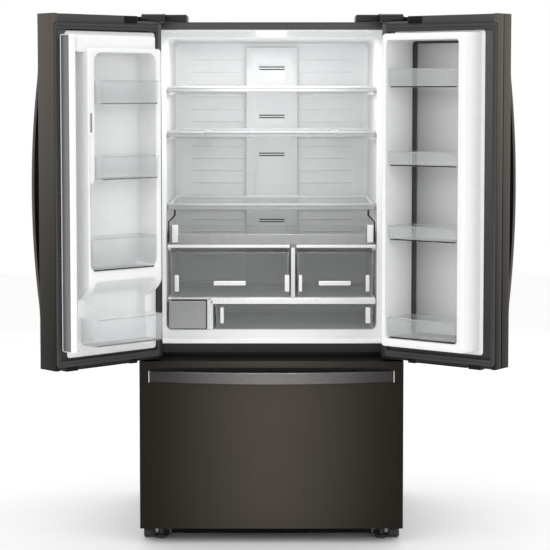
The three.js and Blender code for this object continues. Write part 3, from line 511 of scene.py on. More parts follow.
def glass_shelf(name, x, level):
    """A tempered pane in its frame: a frosted front lip, two side rails and a back rail."""
    bottom, top = level
    rails = Shape()
    for rail_x in ((x[0], x[0] + 11), (x[1] - 11, x[1])):
        rails.block(rail_x, (SHELF_FRONT + 16, SHELF_BACK), (bottom, top - 4), 2, 3)
    rails.block(x, (SHELF_BACK - 12, SHELF_BACK), (top - 14, top), 2.5, 3)
    rails.piece(name + "_rails", "cabinet", "white_trim", (name,))
    lip = Shape()
    y = SHELF_FRONT
    profile = [
        (y + 1.5, bottom), (y + 10, bottom), (y + 14, bottom + 5), (y + 18, top - 13), (y + 18, top - 5),
        (y + 13, top - 4.6), (y + 9, top - 0.6), (y + 3, top - 0.2), (y + 0.8, top - 2), (y, top - 5),
        (y, bottom + 1.5),
    ]
    lip.prism_x(profile, x)
    lip.piece(name + "_front_lip", "cabinet", "frost")
    band = Shape().block(inset(x, 3), (y - 0.8, y + 1), (top - 8, top - 4), 0.6)
    band.piece(name + "_lip_band", "cabinet", "silver")
    pane = Shape().block(inset(x, 5), (SHELF_FRONT + 14, SHELF_BACK - 6), (top - 11, top - 6.6), 0.6)
    pane.piece(name + "_pane", "cabinet", "glass")


def shelves():
    second = LEVELS["second"]
    glass_shelf("top_shelf", both(SHELF_X), LEVELS["top_shelf"])
    glass_shelf("left_half_shelf", (-SHELF_X, -231), second)
    glass_shelf("centre_shelf", (-229, 228), second)
    glass_shelf("right_half_shelf", (230, SHELF_X), second)
    glass_shelf("lower_shelf", both(SHELF_X), LEVELS["lower_shelf"])


def crisper_covers():
    front = (DRAWER_FRONT, DRAWER_FRONT + 16)
    bottom, top = LEVELS["crisper_cover"]
    strip = Shape()
    for x in ((-SHELF_X, 64), (86, SHELF_X)):
        strip.block(x, front, (bottom, top), 2.5, 3)
    strip.piece("crisper_cover_strip", "cabinet", "white_trim", ("crisper_cover",))
    pane = Shape().block(both(SHELF_X - 2), (DRAWER_FRONT + 14, SHELF_BACK), (bottom + 3, top - 2.5), 0.8)
    pane.piece("crisper_cover_pane", "cabinet", "glass")
    divider = Shape()
    divider.block((68, 82), (DRAWER_FRONT, SHELF_BACK), (820.6, bottom - 0.2), 2, 3)
    divider.block((72.5, 77.5), (DRAWER_FRONT - 0.8, DRAWER_FRONT + 3), (824, bottom), 0.6)
    divider.piece("crisper_divider", "cabinet", "divider")
    bottom, top = LEVELS["pantry_cover"]
    bar = Shape()
    bar.block((-214, SHELF_X), front, (797, top), 3.5, 4)
    bar.block(both(SHELF_X), (DRAWER_FRONT + 14, SHELF_BACK), (bottom, top - 0.2), 1.5)
    bar.piece("pantry_cover_bar", "cabinet", "white_trim", ("pantry_cover",))
    post = Shape().block((-225, -204.4), (DRAWER_FRONT, SHELF_BACK), (708.6, bottom - 0.2), 2, 3)
    post.piece("pantry_post", "cabinet", "divider")


def filter_cover():
    x, z = (-358, -229), (712, 808)
    panel = Shape()
    sections = ((0, 105), (0, 99.5), (0.8, 98), (2.2, 97.2), (6, 97.2), (7, 98.4), (9, 98.6))
    panel.loft([upright_ring(inset(x, by), depth, inset(z, by), 5) for by, depth in sections])
    panel.piece("filter_cover_panel", "filter_cover", "grey", ("filter_cover",))


def food_tub(name, x, z, corners, corner_z, bar=None):
    """A clear drawer with white corner blocks low on its front and, where it has one, a white pull bar."""
    y = (DRAWER_FRONT, DRAWER_BACK)
    tub = Shape().tray(inset(x, 1), y, z, wall=2.5, radius=14, taper=4, lip=3)
    tub.piece(name + "_tub", name, "clear", (name,))
    trim = Shape()
    front = DRAWER_FRONT + 4.2
    for corner_x in corners:
        trim.block(corner_x, (front - 3, front + 2), corner_z, 1.4, 3)
    if bar:
        trim.block(bar, (DRAWER_FRONT - 7.5, DRAWER_FRONT - 0.5), (863, 879), 3, 4)
        for at in inset(bar, 6):
            trim.block((at - 4, at + 4), (DRAWER_FRONT - 2, DRAWER_FRONT + 4.5), (865, 877), 1)
    trim.piece(name + "_trim", name, "white_trim")


def food_drawers():
    crisper_z, pantry_z = (820.8, 978), (708.8, 794)
    left, right = ((-338, -323), (46, 62)), ((95, 106.5), (328.5, 341.5))
    food_tub("crisper_left", (-358, 66), crisper_z, left, (841, 899), (-202, -90))
    food_tub("crisper_right", (84, 360), crisper_z, right, (841, 899), (164, 276))
    corners = ((-179, -167), (328, 345))
    food_tub("pantry_drawer", (-201, 360), pantry_z, corners, (730, 786))
    deli_tray()


def deli_tray():
    """A shallow clear tray between two fixed struts that carry it from the shelf above."""
    tray = Shape().tray(both(354), (101, 540), (1005.8, 1042), wall=2.5, radius=8, taper=3, lip=2)
    tray.piece("deli_tray_tub", "deli_tray", "clear", ("deli_tray",))
    front = Shape().block(both(328), (98.5, 101.5), (1008, 1041), 1.2, 3)
    front.piece("deli_tray_front", "deli_tray", "frost")
    clips = Shape()
    for x in ((-346, -325), (333, 354)):
        clips.block(x, (98.2, 108), (1013, 1074), 2, 3)
    clips.piece("deli_tray_clips", "deli_tray", "white_trim")
    plates, struts = Shape(), Shape()
    plate = [(110, 1012), (530, 1012), (530, 1040), (190, 1046), (110, 1069)]
    bend = [
        (357, 1012), (361, 1012), (361, 1084), (340, 1108),
        (340, 1125.4), (334.5, 1125.4), (334.5, 1106), (357, 1081.5),
    ]
    for side in (1, -1):
        plates.prism_x(plate, mirrored(side, (350, 354.5)))
        struts.loft([[(side * x, y, z) for x, z in bend] for y in (110, 128)])
    struts.piece("deli_tray_struts", "cabinet", "cover")
    plates.piece("deli_tray_plates", "deli_tray", "bracket")


CASE_TOP = 1772


def hinge_cover(name, side, nose):
    """A boxy cover on the case with a nose that hangs in front of the hinge, inside the door's notch. A black
    knuckle fills the notch beside the nose."""
    cover = Shape()
    cover.block(mirrored(side, (288, 366)), (4, 150), (CASE_TOP + 0.4, 1797.4), 2.5, 3)
    cover.block(mirrored(side, (362, 442)), (6, 150), (CASE_TOP + 0.4, 1799.6), 2.5, 3)
    front, back = -96, -27
    profile = [
        (front + 5, NOSE_BOTTOM), (back, NOSE_BOTTOM), (back, 1791.4), (12, 1791.4), (12, 1799.2),
        (-30, 1799.2), (front + 24, 1797), (front + 6, 1794.6), (front + 1.5, 1792), (front, 1787),
        (front, NOSE_BOTTOM + 5), (front + 1.5, NOSE_BOTTOM + 1.5),
    ]
    cover.prism_x(profile, mirrored(side, nose))
    cover.block(mirrored(side, inset(nose, 6)), (front - 0.8, front + 2), (NOSE_BOTTOM + 6, 1786), 0.8)
    cover.piece(name + "_shell", "cabinet", "cover", (name,))
    beside = mirrored(side, (nose[1] + 0.4, 449))
    knuckle = Shape().block(beside, (-92, -34), (NOSE_BOTTOM + 0.6, 1787), 1.2, 2)
    knuckle.piece(name + "_knuckle", "cabinet", "black")


def front_feet():
    """The forward parts of the levelling legs and front rollers, just behind the drawer's lower edge."""
    leg_x, leg_y, grips, grip_radius = 380, -9, 12, 20.4
    wheel_y, wheel_z, wheel_radius = -8, 21, 20
    angles = [radians(10 * step) for step in range(36)]
    for name, side in (("left", -1), ("right", 1)):
        foot = Shape()
        foot.rod(21, (side * leg_x, leg_y), (0.3, 13), 2.5, 32)
        foot.rod(11, (side * leg_x, leg_y), (12, 46), 1)
        for step in range(grips):
            angle = 2 * pi * step / grips
            x, y = side * leg_x + grip_radius * cos(angle), leg_y + grip_radius * sin(angle)
            foot.rod(2.2, (x, y), (2.5, 11), 0.5, 8)
        foot.block(mirrored(side, (362, 440)), (-18, 46), (40, 58), 2, 3)
        rings = []
        for x, share in ((406, 0.9), (409, 1), (437, 1), (440, 0.9)):
            radius = share * wheel_radius
            rings.append([(side * x, wheel_y + radius * cos(a), wheel_z + radius * sin(a)) for a in angles])
        foot.loft(rings)
        foot.piece(f"front_leg_{name}", "cabinet", "wheel")


def cabinet():
    hinge_cover("hinge_cover_left", -1, (360, 435))
    hinge_cover("hinge_cover_right", 1, (366, 441.5))
    fridge_cavity()
    shelves()
    crisper_covers()
    filter_cover()
    food_drawers()
    for node, look, width in (
        ("outer_case", "case", 1.2),
        ("front_frame", "flange", 1.0),
        ("rear_panel", "case", 0.6),
        ("freezer_liner", "liner", 1.2),
        ("toe_grille", "black", 1.0),
        ("air_duct_cover", "liner", 1.5),
        ("ceiling_light", "lamp", 1.5),
        ("top_hinge_left", "hinge", 0.8),
        ("top_hinge_right", "hinge", 0.8),
        ("centre_hinge_left", "hinge", 0.6),
        ("centre_hinge_right", "hinge", 0.6),
        ("front_foot_left", "wheel", 1.2),
        ("front_foot_right", "wheel", 1.2),
        ("rear_rollers", "wheel", 1.0),
        ("compressor", "motor", 2.0),
        ("freezer_rails", "steel", 1.0),
        ("freezer_slides", "steel", 1.0),
        ("freezer_drawer_frame", "steel", 1.0),
    ):
        softened(node, look, width)
    # A black strip painted as the shade in the gap between the middle rail and the freezer drawer's top.
    strip = Shape().block(both(446), (-2.4, 0.4), (627, 643), 0.6)
    strip.piece("middle_rail_painted_shade", "cabinet", "black")
    front_feet()
    # Black bars painted as the shade inside the duct cover's outlet slots.
    duct_slots = Shape()
    for outlet_z in (1624, 1444, 1302, 1053):
        for z in (outlet_z - 4.5, outlet_z + 4.5):
            duct_slots.block(both(47), (616, 617.8), (z - 1.8, z + 1.8), 0)
    duct_slots.piece("duct_slot_shadows", "cabinet", "black")


# ---- doors ----
DOOR_WIDTH, DOOR_THICKNESS = 446, 92
DOOR_Z = (633, 1788)
DOOR_FRONT = -104
CAP_BAND = 33
RETURN = 15
SKIN = 1.6
EDGE_RADIUS, BACK_RADIUS = 9, 2
# The notch in each door's top corner ends here. The hinge cover's nose sits in it.
CORNER_U = 101


def skin_outline(w, hinge_side=True):
    """A folded sheet seen from above: the face, both sides and a return on each side of the back. Without its
    hinge side the sheet starts at the face."""

    def path(by):
        u0, u1 = by, DOOR_WIDTH - by
        w0, w1 = w[0] + by, w[1] - by
        front, back = EDGE_RADIUS - by, BACK_RADIUS - by
        points = [(RETURN, w1)]
        corners = ((u0 + back, w1 - back, back, 90), (u0 + front, w0 + front, front, 180))
        for cu, cw, radius, start in corners:
            for step in range(7):
                angle = radians(start + 15 * step)
                points.append((cu + radius * cos(angle), cw + radius * sin(angle)))
        hinge = points if hinge_side else points[8:]
        return hinge + [(u0 + u1 - u, depth) for u, depth in reversed(points)]

    return path(0) + list(reversed(path(SKIN)))


def cap_blocks(depth):
    """The moulded caps that close a folded skin: the top one is stepped down at the hinge corner."""
    u = inset((0, DOOR_WIDTH), SKIN + 0.3)
    caps = Shape().block((CORNER_U, u[1]), depth, (DOOR_Z[1] - CAP_BAND, DOOR_Z[1] - 1.2), 1.5, 3)
    caps.block((u[0], CORNER_U + 2), depth, (DOOR_Z[1] - CAP_BAND, CORNER_Z - 0.6), 1.0, 2)
    return caps.block(u, depth, (DOOR_Z[0] + 1.2, DOOR_Z[0] + 20), 1.5, 3)


def back_plate(name, body, mouth_u, mouth_z):
    """The painted sheet that borders the inner liner on a door's back."""
    low, high = 89.6, 91.4
    outer = upright_ring(inset((0, DOOR_WIDTH), SKIN + 1), low, inset(DOOR_Z, 18), 3)
    inner = upright_ring(inset(mouth_u, 1.2), low, inset(mouth_z, 1.2), 10)
    raised = [[(u, high, z) for u, _, z in ring] for ring in (inner, outer)]
    Shape().hoop([outer, inner, *raised]).piece(name, body, "border")


def gasket(name, body, node, u=(23, 445), z=(645, 1757), w=(92.3, 103.6), width=(7, 11.5), height=20):
    """A magnetic seal: a soft bellows under a flat face, in one closed ring."""
    base, top = w
    rise = top - base
    inner_u = (u[0] + width[0], u[1] - width[1])
    inner_z = inset(z, height)

    def between(share):
        span_u = tuple(a + (b - a) * share for a, b in zip(u, inner_u))
        span_z = tuple(a + (b - a) * share for a, b in zip(z, inner_z))
        return span_u, span_z

    sections = (
        (0.1, base), (0.1, base + 0.3 * rise), (0.16, base + 0.5 * rise), (0.0, base + 0.66 * rise),
        (0.0, top - 0.8), (0.06, top), (0.44, top), (0.5, top - 1.2), (0.56, top), (0.94, top),
        (1.0, top - 0.8), (1.0, base + 0.66 * rise), (0.84, base + 0.5 * rise), (0.9, base + 0.3 * rise),
        (0.9, base),
    )
    rings = []
    for share, depth in sections:
        span_u, span_z = between(share)
        rings.append(upright_ring(span_u, depth, span_z, 7))
    Shape().hoop(rings).piece(name, body, "gasket", (node,))


HANDLE_STEPS = 28


def bow(half, rise, thickness):
    """Along, outward and lean of a shallow arc that meets its mounting face at both ends."""
    radius = (half * half + rise * rise) / (2 * rise)
    centre = radius - rise
    reach = acos(centre / radius)
    middle = radius - thickness / 2
    for step in range(HANDLE_STEPS + 1):
        angle = reach * (2 * step / HANDLE_STEPS - 1)
        yield middle * sin(angle), middle * cos(angle) - centre, angle


def bow_handle(name, body, node, look, half, rise, thickness, width, point):
    """A bowed flat bar. point(along, out, across) puts it in its space; bright plates close both ends."""
    bar = Shape()
    rings = []
    for along, out, angle in bow(half, rise, thickness):
        ring = []
        for across, depth in rounded(both(width / 2), both(thickness / 2), 4.5, 4):
            lift = max(out + depth * cos(angle), 0.3)
            ring.append(point(along + depth * sin(angle), lift, across))
        rings.append(ring)
    bar.loft(rings)
    bar.piece(name, body, look, (node,), 30)
    ends = Shape()
    for end in (1, -1):
        alongs = (end * (half - 2.8), end * half)
        corners = [point(a, o, c) for c in both(width / 2) for o in (0.2, 7) for a in alongs]
        spans = [(min(values), max(values)) for values in zip(*corners)]
        ends.block(*spans, 1, 3)
    ends.piece(name + "_ends", body, "chrome")


def door_handle(body):
    """Upright, near the door's free edge."""
    middle_u, middle_z = 429, 1207.5
    bow_handle(
        body + "_bow", body, body + "_handle", "handle", half=400, rise=43, thickness=14, width=26,
        point=lambda along, out, across: (middle_u + across, -out, middle_z + along),
    )


def hinge_bushes(body):
    bushes = Shape()
    for z in ((CORNER_Z - 6, CORNER_Z + 1.4), (DOOR_Z[0] - 0.6, DOOR_Z[0] + 6)):
        bushes.rod(13, (HINGE_U, HINGE_W), z, 1.0)
    bushes.piece(body + "_bushes", body, "black")


def door_hardware(body, stop, shade_line_z):
    """Black parts on the door's back, one of them a line painted as the shade above the liner's flange, and
    the trim over its folded hinge side. stop is the door stop's span across the door, and the third argument
    is the height of that painted shade line above the liner's flange."""
    back = DOOR_THICKNESS
    inserts_and_shade_line = Shape()
    # A thin black line painted as the shade between the border and the liner's flange.
    inserts_and_shade_line.block((56, 394), (back - 0.6, back + 1), (shade_line_z, shade_line_z + 4), 0.6)
    inserts_and_shade_line.block((CORNER_U + 2.5, 158), (back - 0.8, back + 0.8), (1762, 1785.6), 0.8)
    inserts_and_shade_line.block((122, 148), (back, back + 2.6), (1767, 1781), 1, 2)
    inserts_and_shade_line.block(stop, (66, back + 1), (628, 645), 1.5, 3)
    inserts_and_shade_line.block(inset(stop, 10), (70, 88), (627.2, 632), 1.2, 2)
    inserts_and_shade_line.block((110, 140), (74, back + 1), (628, 642), 1.5, 3)
    inserts_and_shade_line.block((146, stop[0] - 6), (80, back), (630.5, 634), 0.8)
    inserts_and_shade_line.piece(body + "_hardware", body, "black")
    cover = Shape().block((0.8, RETURN + 1), (back - 0.4, back + 0.5), (640, 1762), 0.4)
    cover.piece(body + "_hardware_edge", body, "border")


# The left door's inner liner: two dikes with bins between them, and a pocket over a ledge.
DIKE_TOP, DIKE_LOW = 167.5, 104
BAND_U, BAND_Z, BAND_TOP = (66.4, 402), (1664, 1722), 150
LEDGE_Z, DIKE_BEND_Z, DIKE_FOOT_Z = 926, 890, 858
SWEEP_STATIONS = [DIKE_FOOT_Z + step * (LEDGE_Z - DIKE_FOOT_Z) / 10 for step in range(11)]
STEP_Z, STEP_RISE = 1228, 24
STEP_STATIONS = [STEP_Z + STEP_RISE * step / 6 for step in range(7)]
RECESS_U, POCKET_U = (84, 342), (84, 363.4)
RECESS_FLOOR = 70


def sweep_limit(z):
    """How far the dikes stand out at a height: full above the ledge, then a curve back to the flange."""
    if z >= LEDGE_Z:
        return DIKE_TOP
    if z <= DIKE_FOOT_Z:
        return DIKE_LOW
    # Solves the quadratic curve through ledge, bend and foot for its parameter at this height.
    a = LEDGE_Z - 2 * DIKE_BEND_Z + DIKE_FOOT_Z
    b = 2 * (DIKE_BEND_Z - LEDGE_Z)
    c = LEDGE_Z - z
    t = -c / b if abs(a) < 1e-9 else (-b - (b * b - 4 * a * c) ** 0.5) / (2 * a)
    return DIKE_TOP * (1 - t * t) + DIKE_LOW * t * t


def narrowed(point):
    """Above the pocket the recess is narrower on its free side, through a smooth step."""
    u, w, z = point
    share = min(max((z - STEP_Z) / STEP_RISE, 0), 1)
    share = share * share * (3 - 2 * share)
    return (u - (POCKET_U[1] - RECESS_U[1]) * share if u > 300 else u, w, z)


def left_liner():
    shape = Shape()
    stations = SWEEP_STATIONS + [956]
    outer = (
        ((30.6, 401.4), (672.6, 1732.4), 10, 89),
        ((30.6, 401.4), (672.6, 1732.4), 10, 93.0),
        ((32, 400), (674, 1731), 10, 93.8),
        ((61, 371), (686, 1681), 14, 93.8),
        ((64.4, 367.6), (689.4, 1678.4), 14, 95),
        ((64.2, 366.6), (690.4, 1677.4), 12, 99),
        ((64.2, 366), (691.5, 1677), 12, 163.5),
        ((64.6, 365.2), (692.6, 1676.2), 11, 165.8),
        ((66, 363.6), (694.4, 1674.6), 10, 167.1),
        ((68.4, 361.4), (696.6, 1672.4), 8, DIKE_TOP),
    )
    loops = shape.loft([upright_ring(u, w, z, r, stations=stations) for u, z, r, w in outer], False, False)
    edges = loop_edges(loops[-1])
    upper = (
        (0, 30, DIKE_TOP), (0.8, 30, 167), (1.4, 30, 165.2), (1.8, 30, 160), (4, 29, 80), (6, 28, 74),
        (12, 26, RECESS_FLOOR),
    )
    rings = []
    for by, radius, w in upper:
        ring = upright_ring(inset(POCKET_U, by), w, inset((956, 1664), by), radius, stations=STEP_STATIONS)
        rings.append([narrowed(point) for point in ring])
    loops = shape.loft(rings, first=False)
    edges += loop_edges(loops[0])
    lower = (
        (0, 0, 14, DIKE_TOP), (0.8, 3, 13, 166.6), (1.6, 7, 12, 163), (2, 14, 12, 150), (4, 44, 12, 84),
        (6, 50, 12, 75), (12, 60, 14, RECESS_FLOOR),
    )
    rings = []
    for by, slope, radius, w in lower:
        z = (710 + by, LEDGE_Z - slope)
        rings.append(upright_ring(inset(RECESS_U, by), w, z, radius, stations=SWEEP_STATIONS[:8]))
    loops = shape.loft(rings, first=False)
    edges += loop_edges(loops[0])
    bmesh.ops.triangle_fill(shape.bm, use_beauty=True, use_dissolve=False, edges=edges, normal=(0, 1, 0))
    for vertex in shape.bm.verts:
        vertex.co.y = min(vertex.co.y, sweep_limit(vertex.co.z))
    sections = (
        (0, 0, 92), (0.6, 0, 128), (2, 0.5, 136), (6, 3, 143), (13, 8, 147.6), (22, 14, BAND_TOP - 0.8),
        (30, 20, BAND_TOP),
    )
    band = [
        upright_ring((BAND_U[0] + side, BAND_U[1] - side), w, (BAND_Z[0], BAND_Z[1] - top), 4)
        for top, side, w in sections
    ]
    shape.loft(band)
    shape.piece("left_door_inner_liner", "left_door", "liner", ("left_door_liner",), 38)
    vent = Shape()
    vent.block((351, 358), (166.9, 167.8), (1406, 1468), 0.3)
    for row in range(8):
        z = 1409.5 + row * 7.2
        vent.block((350.4, 358.6), (167, 168.3), (z, z + 2.4), 0.4)
    vent.piece("left_door_vent", "left_door", "bracket")


def loop_edges(loop):
    edges = []
    for first, second in zip(loop, loop[1:] + loop[:1]):
        for edge in first.link_edges:
            if edge.other_vert(first) is second:
                edges.append(edge)
    return edges


def door_bin(body, number, u, w, z, slope=0, edge="smoke_edge"):
    """A clear bin with a smoked floor and a band along its rim. slope is how far the end at the hinge leans
    inwards on the side nearest the door's face."""

    def lean(a, b, c):
        back = (w[1] - b) / (w[1] - w[0])
        return a + slope * back * (u[1] - a) / (u[1] - u[0]), b, c

    name = f"{body}_bin_{number}"
    tub = Shape().tray(u, w, z, wall=2.4, radius=12, taper=3, lip=2).warp(lean)
    tub.piece(name + "_tub", body, "clear", (name,))
    base = Shape().block(inset(u, 9), inset(w, 9), (z[0] + 2.6, z[0] + 4.2), 0.5).warp(lean)
    base.piece(name + "_floor", body, "smoke")
    rim = Shape().block(inset(u, 10), (w[1] - 1.4, w[1] + 0.6), (z[1] - 3.4, z[1] - 0.8), 0.6)
    rim.warp(lean).piece(name + "_rim", body, "frost")
    line = Shape().block(inset(u, 11), (w[1] - 6.2, w[1] - 4.4), (z[0] + 0.8, z[0] + 4.4), 0.5)
    line.warp(lean).piece(name + "_floor_edge", body, edge)


def mullion():
    u, w, z = (412, 431), (103, 166), (698, 1720)
    core = Shape()
    sections = ((2.5, z[0]), (0, z[0] + 2.5), (0, z[1] - 2.5), (2.5, z[1]))
    core.loft([level_ring(inset(u, by), inset(w, by), level, 5) for by, level in sections])
    core.piece("mullion_core", "mullion", "white_trim", ("mullion_bar",))
    strip = Shape()
    strip.block((u[1] - 0.8, u[1] + 0.5), (112, 153), inset(z, 3), 0.4)
    strip.piece("mullion_strip", "mullion", "strip")


def left_door():
    depth = (0, DOOR_THICKNESS)
    skin = Shape().prism(skin_outline(depth), (DOOR_Z[0], CORNER_Z))
    skin.prism(skin_outline(depth, hinge_side=False), (CORNER_Z, DOOR_Z[1]))
    skin.piece("left_door_skin", "left_door", "door_steel", ("left_door_shell",), 25)
    caps = cap_blocks((SKIN + 0.3, DOOR_THICKNESS - 0.2))
    caps.piece("left_door_caps", "left_door", "cap")
    door_hardware("left_door", (356, 404), 1734.5)
    back_plate("left_door_back_plate", "left_door", (44, 402), (672, 1733))
    left_liner()
    gasket("left_door_seal", "left_door", "left_door_gasket")
    door_handle("left_door")
    hinge_bushes("left_door")
    mullion()
    door_bin("left_door", 1, (88.5, 337.5), (72.5, 195), (1496, 1573))
    door_bin("left_door", 2, (88.5, 337.5), (72.5, 195), (1252, 1329))
    door_bin("left_door", 3, (88.5, 359.5), (72.5, 176), (957, 1064), edge="black")
    door_bin("left_door", 4, (74.5, 365.5), (105.2, 195), (713, 802))


# ---- right door: an inner frame with a deep box, and an outer door hung on it ----
FRAME_W = (54.3, DOOR_THICKNESS)
OUTER_W = (0, 50)
OPEN_U, OPEN_Z = (83, 360), (720, 1705)
# The outer door's hinge side starts above the lower arm.
ARM_NOTCH_Z = 643.6


def right_box():
    """The deep box on the inner frame, open at its front and its back, with a rim round the opening."""
    sections = (
        ((50.6, 399.4), (677.6, 1736.4), 10, 89),
        ((50.6, 399.4), (677.6, 1736.4), 10, 92.4),
        ((52, 398), (679, 1735), 10, 93.2),
        ((63.4, 391), (687, 1733), 10, 93.2),
        ((66, 388.6), (689.6, 1730.6), 10, 95),
        ((66.4, 388), (690.4, 1730), 10, 99),
        ((66.8, 386.6), (693.4, 1727), 12, 188),
        ((68, 385), (695, 1725.4), 12, 192.6),
        ((71.4, 381.6), (698.4, 1722), 12, 194),
        ((80.6, 362.4), (717.6, 1707.4), 14, 194),
        ((82.4, 360.6), (719.4, 1705.6), 12, 193),
        (OPEN_U, OPEN_Z, 12, 190),
        ((OPEN_U[0] + 15, OPEN_U[1] - 0.6), inset(OPEN_Z, 0.6), 12, FRAME_W[0] + 1),
        ((OPEN_U[0] + 13, OPEN_U[1] + 2), inset(OPEN_Z, -2), 12, FRAME_W[0] + 0.2),
        ((50.6, 399.4), (665.6, 1736.4), 10, FRAME_W[0] + 0.2),
    )
    box = Shape().hoop([upright_ring(u, w, z, r) for u, z, r, w in sections])
    box.piece("right_door_inner_box", "right_door", "liner", ("right_door_box",), 38)


def frame_skin():
    """The folded sheet round the inner frame: two upright channels joined above and below its opening."""
    shape = Shape()
    outer, inner = [], []
    bend, reach = 2.4, 50
    for by, path in ((0, outer), (SKIN, inner)):
        path.append((RETURN, FRAME_W[1] - by))
        for centre, start in ((FRAME_W[1] - bend, 90), (FRAME_W[0] + bend, 180)):
            for step in range(5):
                angle = radians(start + 22.5 * step)
                path.append((bend + (bend - by) * cos(angle), centre + (bend - by) * sin(angle)))
        path.append((reach, FRAME_W[0] + by))
    channel = outer + list(reversed(inner))
    shape.prism(channel, (DOOR_Z[0], CORNER_Z))
    shape.prism([(DOOR_WIDTH - u, w) for u, w in channel], DOOR_Z)
    across, depth = inset((0, DOOR_WIDTH), reach - 1), (FRAME_W[0], FRAME_W[0] + SKIN)
    for z in ((DOOR_Z[0], 665), (1737, CORNER_Z)):
        shape.block(across, depth, z, 0.4)
    shape.block((CORNER_U, across[1]), depth, (CORNER_Z - 1, DOOR_Z[1]), 0.4)
    shape.piece("right_frame_skin", "right_door", "door_steel", ("right_frame_shell",), 25)


def right_door():
    frame_skin()
    right_box()
    caps = cap_blocks((FRAME_W[0] + SKIN + 0.2, FRAME_W[1] - 0.2))
    caps.piece("right_frame_caps", "right_door", "cap")
    door_hardware("right_door", (345, 392), 1738)
    arms = Shape()
    arms.block((4, 40), (18, FRAME_W[0] + 3), (CORNER_Z - 6.4, CORNER_Z - 0.4), 1)
    arms.block((4, 40), (18, FRAME_W[0] + 3), (633.6, 639.8), 1)
    arms.piece("outer_door_arms", "right_door", "black")
    back_plate("right_frame_back_plate", "right_door", (50, 400), (677, 1737))
    gasket("right_door_seal", "right_door", "right_door_gasket")
    hinge_bushes("right_door")
    for index, z in enumerate(((1550, 1612), (1292, 1340), (1047, 1095), (721, 790))):
        door_bin("right_door", index + 1, (84.5, 358.5), (59, 189.5), z, slope=14.5, edge="black")


def outer_door():
    corner = CORNER_Z - 8
    shape = Shape().prism(skin_outline(OUTER_W), (ARM_NOTCH_Z, corner))
    shape.prism(skin_outline(OUTER_W, hinge_side=False), (corner, DOOR_Z[1]))
    shape.prism(skin_outline(OUTER_W, hinge_side=False), (DOOR_Z[0], ARM_NOTCH_Z))
    shape.piece("outer_door_skin", "outer_door", "door_steel", ("outer_door_shell",), 25)
    caps = Shape()
    u = inset((0, DOOR_WIDTH), SKIN + 0.3)
    depth = (OUTER_W[0] + SKIN + 0.3, OUTER_W[1] - 0.2)
    caps.block((CORNER_U, u[1]), depth, (1750, DOOR_Z[1] - 1.2), 1.5, 3)
    caps.block((61, CORNER_U + 2), depth, (1750, CORNER_Z - 0.6), 1.0, 2)
    caps.block((u[0], 62), depth, (1740, corner - 0.6), 1.0, 2)
    caps.block((61, u[1]), depth, (DOOR_Z[0] + 1.2, 664), 1.5, 3)
    caps.block((u[0], 62), depth, (ARM_NOTCH_Z + 0.8, 664), 1.0, 2)
    caps.piece("outer_door_caps", "outer_door", "cap")
    panel = Shape()
    sections = ((0, 44), (0, 49.6), (1, 50), (48, 50), (52, 48.6), (90, 48.2))
    u, z = (40.6, 405.4), (670.6, 1739.4)
    panel.loft([upright_ring(inset(u, by), w, inset(z, by), 6) for by, w in sections])
    panel.piece("outer_door_inner_panel", "outer_door", "inner_grey", ("outer_door_panel",))
    gasket(
        "outer_door_seal", "outer_door", "outer_door_gasket",
        u=(60, 383), z=(697, 1728), w=(50.3, 54.0), width=(54, 32), height=32,
    )
    door_handle("outer_door")


# ---- freezer drawer ----
DRAWER_HALF, DRAWER_Z = 448, (52, 626)


